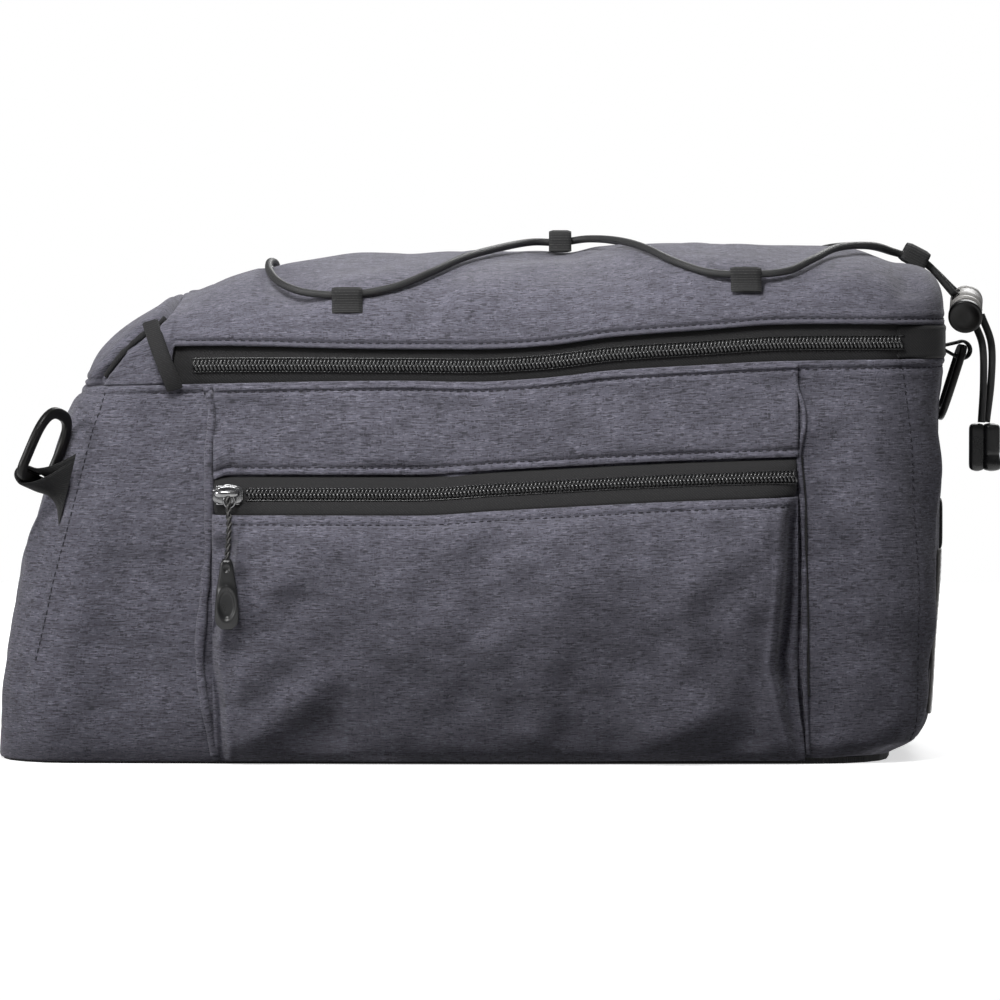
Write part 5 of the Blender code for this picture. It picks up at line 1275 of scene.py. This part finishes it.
# %% Sliders and pulls
def make_slider(label, side):
    """A slider's two plates and its bridge, the twisted cord through it and the moulded tab below."""
    middle = box_of(label + "_slider")[2]
    out = np.array([0.0, side, 0.0])
    x_way, z_way = np.array([1.0, 0.0, 0.0]), np.array([0.0, 0.0, 1.0])
    parts = []
    for lift, size, thick in ((-0.0014, 1.0, 0.0006), (0.0009, 0.86, 0.0006)):
        place = np.linspace(-1.0, 1.0, 25)
        shape = np.interp(place, (-1.0, -0.86, -0.5, 0.0, 0.6, 0.9, 1.0),
                          (0.40, 0.66, 0.86, 1.0, 0.88, 0.74, 0.52))
        centres = middle + out * lift + x_way * (place * 0.0060 * (0.5 + 0.5 * size))[:, None]
        parts.append(capped(loft_grid(centres, 0.0043 * size * shape, thick * np.sqrt(1 - 0.7 * place**6),
                                      z_way, out, 4.0)))
    post = middle + x_way * np.linspace(0.0015, 0.0045, 6)[:, None]
    parts.append(capped(loft_grid(post, 0.0016, 0.0015, z_way, out, 3.0, 20)))
    for place in (-1.0, 1.0):
        flange = (middle + z_way * place * 0.0034 + x_way * np.linspace(-0.0046, 0.0046, 9)[:, None]
                  - out * 0.0002)
        parts.append(capped(loft_grid(flange, 0.00045, 0.0011, z_way, out, 3.0, 16)))
    arch = np.linspace(0.0, math.pi, 21)
    bridge = (middle + x_way * (-0.0043 * np.cos(arch) - 0.0004)[:, None]
              + out * (0.0010 + 0.0026 * np.sin(arch) ** 0.6)[:, None] + z_way * 0.0006)
    parts.append(tube(bridge, 0.00085, 14, squeeze=1.6, start=(0, 0, 1)))
    ring = np.linspace(0.0, 2 * math.pi, 29)
    ring = (middle + out * 0.0030 + z_way * (0.0024 * np.cos(ring) - 0.0022)[:, None]
            + x_way * (0.0008 + 0.0021 * np.sin(ring))[:, None])
    parts.append(tube(ring, 0.00060, 12, ends=False, start=(0, 1, 0)))
    add_piece(label + "_zip_slider", parts, SLIDER_METAL, [label + "_slider"])

    cord_low, cord_high, _ = box_of(label + "_pull_cord")
    tab_low, tab_high, tab_middle = box_of(label + "_pull_tab")
    inner = min(abs(cord_low[1]), abs(cord_high[1]))
    top = np.array([middle[0], side * (inner + 0.0011), cord_high[2] - 0.0006])
    foot = np.array([middle[0], tab_middle[1], tab_high[2] - 0.0012])
    axis_line = smooth_line([top, 0.55 * top + 0.45 * foot + (0.0008, side * 0.0010, 0.0), foot], 90)
    turn = np.linspace(0.0, 2 * math.pi * 4.6, len(axis_line))
    strands = []
    for phase in (0.0, math.pi):
        swirl = 0.00062 * (np.cos(turn + phase)[:, None] * x_way + np.sin(turn + phase)[:, None] * out)
        strands.append(tube(axis_line + swirl, 0.00058, 9, start=(0, 1, 0)))
    add_piece(label + "_pull_string", strands, PULL_BRAID, [label + "_pull_cord"])

    share = np.linspace(0.0, 1.0, 70)
    wide = 0.00475 * np.interp(share, (0.0, 0.03, 0.10, 0.25, 0.45, 0.75, 0.90, 0.97, 1.0),
                               (0.30, 0.46, 0.55, 0.66, 0.86, 1.0, 0.96, 0.72, 0.30))
    wide = smoothed(wide, 3)
    tall = 0.0016 * np.sqrt(np.clip(1.0 - np.abs(2 * share - 1.0) ** 12, 0.05, 1.0))
    centres = tab_middle + z_way * (0.5 - share)[:, None] * (tab_high[2] - tab_low[2])
    tab = loft_grid(centres, wide, tall, x_way, out, 3.2, 72)
    offset = tab - tab_middle
    front = ease((offset @ out) / 0.0012)
    down = offset[..., 2] / 0.0138
    oval = np.sqrt((offset[..., 0] / 0.0030) ** 2 + ((down + 0.30) / 0.40) ** 2)
    neck = np.sqrt((offset[..., 0] / 0.0012) ** 2 + ((down - 0.72) / 0.10) ** 2)
    dent = (-0.0010 * ease((1.12 - oval) / 0.30) + 0.00035 * bump_at(oval - 1.28, 0.16)
            - 0.0007 * ease((1.1 - neck) / 0.4))
    tab = tab + out * (front * dent)[..., None]
    add_piece(label + "_tab", [capped(tab)], TAB_PLASTIC, [label + "_pull_tab"])


for label, side in (("pocket_near", -1.0), ("pocket_far", 1.0), ("lid", 1.0)):
    make_slider(label, side)

# %% [markdown]
# ## Cord lock and cord end
# The lock is a barrel with a sprung button in it, and the cord's tails end in a moulded grip of two halves.

# %% Cord lock
def edge_profile(start, end, radius, edge, dish=0.0):
    """A turned profile from axis to axis with rounded edges, its far face dished by a ring."""
    places, inset = rounded_ends(end - start, edge)
    rows = [(start, 0.0), (start, 0.5 * radius)] + list(zip(start + places, radius - inset))
    if dish:
        rows += [(end, 0.80 * radius), (end - dish, 0.72 * radius), (end - dish, 0.30 * radius)]
    return rows + [(end - dish, 0.0)]


STEM, STEM_LENGTH, BORE, TRAVEL, BUTTON, GROOVE = 0.0034, 0.0085, 0.0038, 0.003, 0.0069, 0.0004
half = 0.5 * LOCK_LENGTH
bore_floor = half - STEM_LENGTH - CLEARANCE
barrel = edge_profile(-half, half, LOCK_RADIUS, 0.0011)[:-1]
barrel += [(half, BORE), (bore_floor, BORE), (bore_floor, 0.0)]
for place in (-0.52, 0.66):
    at = place * half
    spot = next(k for k, row in enumerate(barrel) if row[0] > at and row[1] > 0.006)
    barrel[spot:spot] = [(at - GROOVE, LOCK_RADIUS), (at, LOCK_RADIUS - GROOVE), (at + GROOVE, LOCK_RADIUS)]
parts = [turned_part(barrel, LOCK_CENTRE, LOCK_AXIS)]
lock = [add_piece("lock_barrel", parts, GREY_PLASTIC, ["cord_lock_barrel"], sharp=50)]
face = half + TRAVEL + CLEARANCE
button = [(face - STEM_LENGTH, 0.0), (face - STEM_LENGTH, STEM), (face, STEM)]
button += edge_profile(face, face + 0.003, BUTTON, 0.0007, dish=GROOVE)[1:]
lock.append(add_piece("lock_button_cap", [turned_part(button, LOCK_CENTRE, LOCK_AXIS)], BLACK_PLASTIC,
                      ["cord_lock_button"], body="lock_button", sharp=50))
eyes = []
for way, place in (((-0.62, 0.0, 0.78), 1), ((-0.62, 0.0, 0.78), -1), (TAILS[0][0], 1), (TAILS[1][0], -1)):
    spot = beside_lock(way, place)
    out = unit(spot - LOCK_CENTRE - LOCK_AXIS * place * LOCK_PITCH)
    turn = np.linspace(0.0, 2 * math.pi, 33)
    side = np.cross(out, LOCK_AXIS)
    ring = spot - out * 0.0011 + 0.00175 * (np.cos(turn)[:, None] * LOCK_AXIS + np.sin(turn)[:, None] * side)
    eyes.append(tube(ring, 0.0004, 8, ends=False, start=tuple(out)))
lock.append(add_piece("lock_eyes", eyes, BLACK_PLASTIC))

# %% Cord end
low, high, middle = box_of("cord_end")
share = np.linspace(0.0, 1.0, 46)
down = high[2] - share * (high[2] - low[2])
round_off = np.sqrt(np.clip(1.0 - np.abs(2 * share - 1.0) ** 14, 0.04, 1.0))
size = high[0] - low[0]
left = np.column_stack([np.full(46, low[0] + 0.24 * size), np.full(46, middle[1]), down])
right = left + np.column_stack([0.44 * size + 0.02 * size * ease((share - 0.7) / 0.2), 0 * down, 0 * down])
lobe = 1.0 + 0.10 * ease((share - 0.72) / 0.12) - 0.05 * bump_at(share - 0.66, 0.04)
grip = add_piece("cord_end_grip", [
    capped(loft_grid(left, 0.24 * size * round_off, 0.0030 * round_off, (1, 0, 0), (0, 1, 0), 5.0, 40)),
    capped(loft_grid(right, 0.28 * size * round_off * lobe, 0.0038 * round_off * lobe, (1, 0, 0), (0, 1, 0),
                     3.2, 40))], TAB_PLASTIC, ["cord_end"])

# %% [markdown]
# ## Rings on webbing
# Two D-rings take a shoulder strap's hooks. A ring is a flattened profile carried round a straight bar and a
# bow, and its tab is a strip folded round the bar and sewn into a seam.

# %% Rings and tabs
RING_BAR, RING_THICKNESS, RING_WIDTH, RING_LENGTH = 0.0045, 0.0029, 0.026, 0.032


def ring_part(centre, across, up):
    """The closed loop: straight bar through the centre, then sides and a half-round bow."""
    across, up = unit(across), unit(up)
    normal = np.cross(across, up)
    half, tall = 0.5 * (RING_WIDTH - RING_BAR), RING_LENGTH - RING_BAR
    bar = np.linspace(-half, half, 24, endpoint=False)
    turn = np.linspace(0.0, math.pi, 56)
    rising = np.linspace(0.0, 0.45 * tall, 10, endpoint=False)
    falling = np.linspace(0.42 * tall, 0.02 * tall, 9)
    bow = (half * np.sign(np.cos(turn)) * np.abs(np.cos(turn)) ** 0.7,
           tall * (0.45 + 0.55 * np.sin(turn) ** 0.8))
    runs = (bar, 0.0 * bar), (np.full(10, half), rising), bow, (np.full(9, -half), falling)
    flat = np.concatenate([np.column_stack(run) for run in runs])
    flat = smoothed(flat, 3, "wrap")
    run = unit(np.roll(flat, -1, axis=0) - np.roll(flat, 1, axis=0))
    side = np.column_stack([run[:, 1], -run[:, 0]])
    a, b = superellipse(24, 3.4)
    lane = flat[:, None] + side[:, None] * (0.5 * RING_BAR * a)[None, :, None]
    points = (centre + lane[..., :1] * across + lane[..., 1:] * up
              + (0.5 * RING_THICKNESS * b)[None, :, None] * normal)
    points = np.concatenate([points, points[:1]])
    return grid_part(points, wrap=True)


def tab_part(seat, bar, across_seat, across_bar, spread):
    """Webbing from its seat out along one side, round the bar and back along the other."""
    out = unit(bar - seat)
    across_seat, across_bar = np.asarray(across_seat, float), np.asarray(across_bar, float)
    lift = unit(np.cross(across_bar, out))
    radius, reach = 0.5 * RING_BAR + CLEARANCE + 0.0006 + 0.0004, float(np.linalg.norm(bar - seat))
    path, wide = [], []
    for way in (1.0, -1.0):
        legs = (0.0, 0.35, 0.7) if way > 0 else (0.7, 0.35, 0.0)
        if way < 0:
            for turn in np.linspace(0.5 * math.pi, -0.5 * math.pi, 7):
                path.append(bar + out * radius * math.cos(turn) + lift * radius * math.sin(turn))
                wide.append(across_bar)
        for share in legs:
            path.append(seat + out * reach * share + way * lift * (spread + (radius - spread) * share))
            wide.append((1 - share) ** 2 * across_seat + (1 - (1 - share) ** 2) * across_bar)
    return strap(path, np.array(wide), 0.0012, columns=17)


corner_plan = plan(columns_round(np.array([-1.0, 1.0]), 3, np.linspace(-1, 1, 7)),
                   0.1115 / float(rim_height(-0.5 * LENGTH)))
corner, before = (np.array([v[0, k] for v in corner_plan]) for k in (-2, -3))
away = unit(np.array([corner[1] - before[1], before[0] - corner[0], 0.0]))
seat = np.array([*corner, 0.1115]) + away * 0.0018
bar = seat + unit((-0.94, -0.20, 0.04)) * 0.0145
across = unit((-0.40, -0.86, 0.25)) * (RING_WIDTH - 2.2 * RING_BAR)
up = np.array([0.34, 0.0, 0.94])
up = up - (up @ unit(across)) * unit(across)
add_piece("front_d_ring", [ring_part(bar, across, up)], BLACK_PLASTIC, ["front_ring"])
tab_seat = seat + (-0.0010, 0.0, -0.0038)
add_piece("front_ring_webbing", [tab_part(tab_seat, bar, (0.0064, 0.0, 0.0268), across, 0.0009)],
          PLAIN_WEBBING, ["front_ring_tab"])
rear_x = float(plan(wall_columns, 1.0, -0.0010)[0].max())
z = 0.5 * float(rim_height(rear_x) + lid_rim(rear_x)) - 0.0032
seat = np.array([rear_x + 0.0005, 0.0, z])
bar = seat + (0.0068, 0.0, -0.001)
add_piece("rear_d_ring", [ring_part(bar, (0, -1, 0), (-0.30, 0, -0.95))], BLACK_PLASTIC,
          ["rear_ring"])
add_piece("rear_ring_webbing", [tab_part(seat, bar, (0, -0.0145, 0), (0, -0.0145, 0), 0.0009)], PLAIN_WEBBING,
          ["rear_ring_tab"])

# %% [markdown]
# ## Rear trim and base
# The rear end has two reflective strips and a loop for a light. The base panel is flat, so its CAD solid is
# right as it is and only takes a better material.

# %% Rear trim
def rear_face(y, z):
    """X of the rear end: the body's end at that height, bowed by the square of y."""
    height = z / float(rim_height(0.5 * LENGTH))
    half_wide = 0.5 * WIDTH * read(BODY, height, 3) - SIDE_BOW
    return body_ends(height)[1] - END_BOW * (y / half_wide) ** 2


for place, label in ((-0.045, "near"), (0.045, "far")):
    y, z = np.meshgrid(place - np.linspace(0.006, -0.006, 13), np.linspace(0.018, 0.083, 50))
    edge = 0.0003 * (1.0 - ((y - place) / 0.006) ** 4)
    weave = 0.00005 * np.sin(z * 2 * math.pi / 0.0026)
    face = np.stack([rear_face(y, z) + 0.0014 + edge + weave, y, z], axis=2)
    add_piece("reflector_" + label, closed_sheet(face, face - (0.0012, 0, 0)), REFLECTIVE,
              ["reflective_strip_" + label])
LIGHT_ARCH = ((-1.0, 0.0), (-0.75, 0.0), (-0.5, 0.5), (-0.25, 0.9), (0.0, 1.0), (0.25, 0.9), (0.5, 0.5),
              (0.75, 0.0), (1.0, 0.0))
path = [(float(rear_face(0.022 * out, 0.0915)) + 0.0010 + lift * 0.0012, 0.022 * out, 0.0915)
        for out, lift in LIGHT_ARCH]
add_piece("light_strap", [strap(path, (0.0, 0.0, 0.020), 0.0012, ribs=0.10, columns=15)], WEBBING,
          ["light_loop"])
base_material, base_tree, base_shader = new_material("coated_base", 0.7, specular=0.3)
base_weave = place_group(base_tree, yarn, object_place(base_tree), Base=(0.012, 0.012, 0.013, 1),
                         Fleck=(0.030, 0.030, 0.031, 1), Across=5000.0, Along=5000.0, Crossing=1.0)
finish_shader(base_tree, base_shader, base_weave, 0.0001)
base_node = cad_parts["base_panel"]
for slot_of_node in base_node.material_slots:
    slot_of_node.material = base_material

# %% [markdown]
# ## Floor and light
# A cut-out photograph has a white ground and soft light. The floor is a plain pale plane: it
# is dark to light that bounces, so that the cloth gets darker towards it, as in the photograph. The main lamp
# is above, in front and a little to the left, with a narrow spread that is aimed at the lid.

# %% Floor and light
floor_mesh = bpy.data.meshes.new("floor")
floor_mesh.from_pydata([(-1.3, -1.3, 0), (1.3, -1.3, 0), (1.3, 1.2, 0), (-1.3, 1.2, 0)], [], [(0, 1, 2, 3)])
floor = bpy.data.objects.new("floor", floor_mesh)
bpy.context.collection.objects.link(floor)
paper, paper_tree, paper_shader = new_material("pale_floor", 0.95, specular=0.1)
fill(paper_tree, paper_shader, Base_Color=(0.9, 0.9, 0.9, 1.0), Emission_Color=(1.0, 1.0, 1.0, 1.0),
     Emission_Strength=0.62)
dark = add_node(paper_tree, "BsdfDiffuse", Color=(0.03, 0.03, 0.03, 1.0))


def split_by_ray(tree, kind, usual, other, end):
    """Sends one shader to most rays and another to one kind of ray."""
    mix = add_node(tree, "MixShader", Fac=add_node(tree, "LightPath").outputs[kind])
    tree.links.new(usual, mix.inputs[1])
    tree.links.new(other, mix.inputs[2])
    tree.links.new(mix.outputs["Shader"], end)


split_by_ray(paper_tree, "Is Diffuse Ray", paper_shader.outputs["BSDF"], dark.outputs["BSDF"],
             paper_tree.nodes["Material Output"].inputs["Surface"])
floor_mesh.materials.append(paper)

world = bpy.context.scene.world or bpy.data.worlds.new("world")
bpy.context.scene.world = world
world.use_nodes = True
sky = world.node_tree
fill(sky, sky.nodes["Background"], Color=(0.96, 0.97, 1.0, 1.0), Strength=0.15)
backdrop = add_node(sky, "Background", Color=(1.0, 1.0, 1.0, 1.0), Strength=1.0)
split_by_ray(sky, "Is Camera Ray", sky.nodes["Background"].outputs["Background"],
             backdrop.outputs["Background"], sky.nodes["World Output"].inputs["Surface"])


def area_light(name, place, aim, size, power, spread=180.0):
    """A square lamp that is turned to face its aim; a smaller spread keeps its light in a narrower cone."""
    data = bpy.data.lights.new(name, "AREA")
    data.size, data.energy, data.spread = size, power, math.radians(spread)
    light = bpy.data.objects.new(name, data)
    bpy.context.collection.objects.link(light)
    light.location = place
    way = np.array(aim) - np.array(place)
    light.rotation_euler = (math.atan2(math.hypot(way[0], way[1]), -way[2]), 0.0,
                            math.atan2(way[1], way[0]) - 0.5 * math.pi)


area_light("key", (-0.18, -0.55, 0.71), (0.03, 0.0, 0.215), 0.28, 0.90, 64.0)
area_light("left", (-1.20, -0.60, 0.50), (-0.14, 0.0, 0.14), 0.35, 6.9)
area_light("top", (0.0, -0.1, 2.4), (0.0, 0.0, 0.1), 1.8, 4.0)
area_light("far_side", (0.5, 1.3, 1.2), (0.0, 0.0, 0.1), 0.9, 17.0)
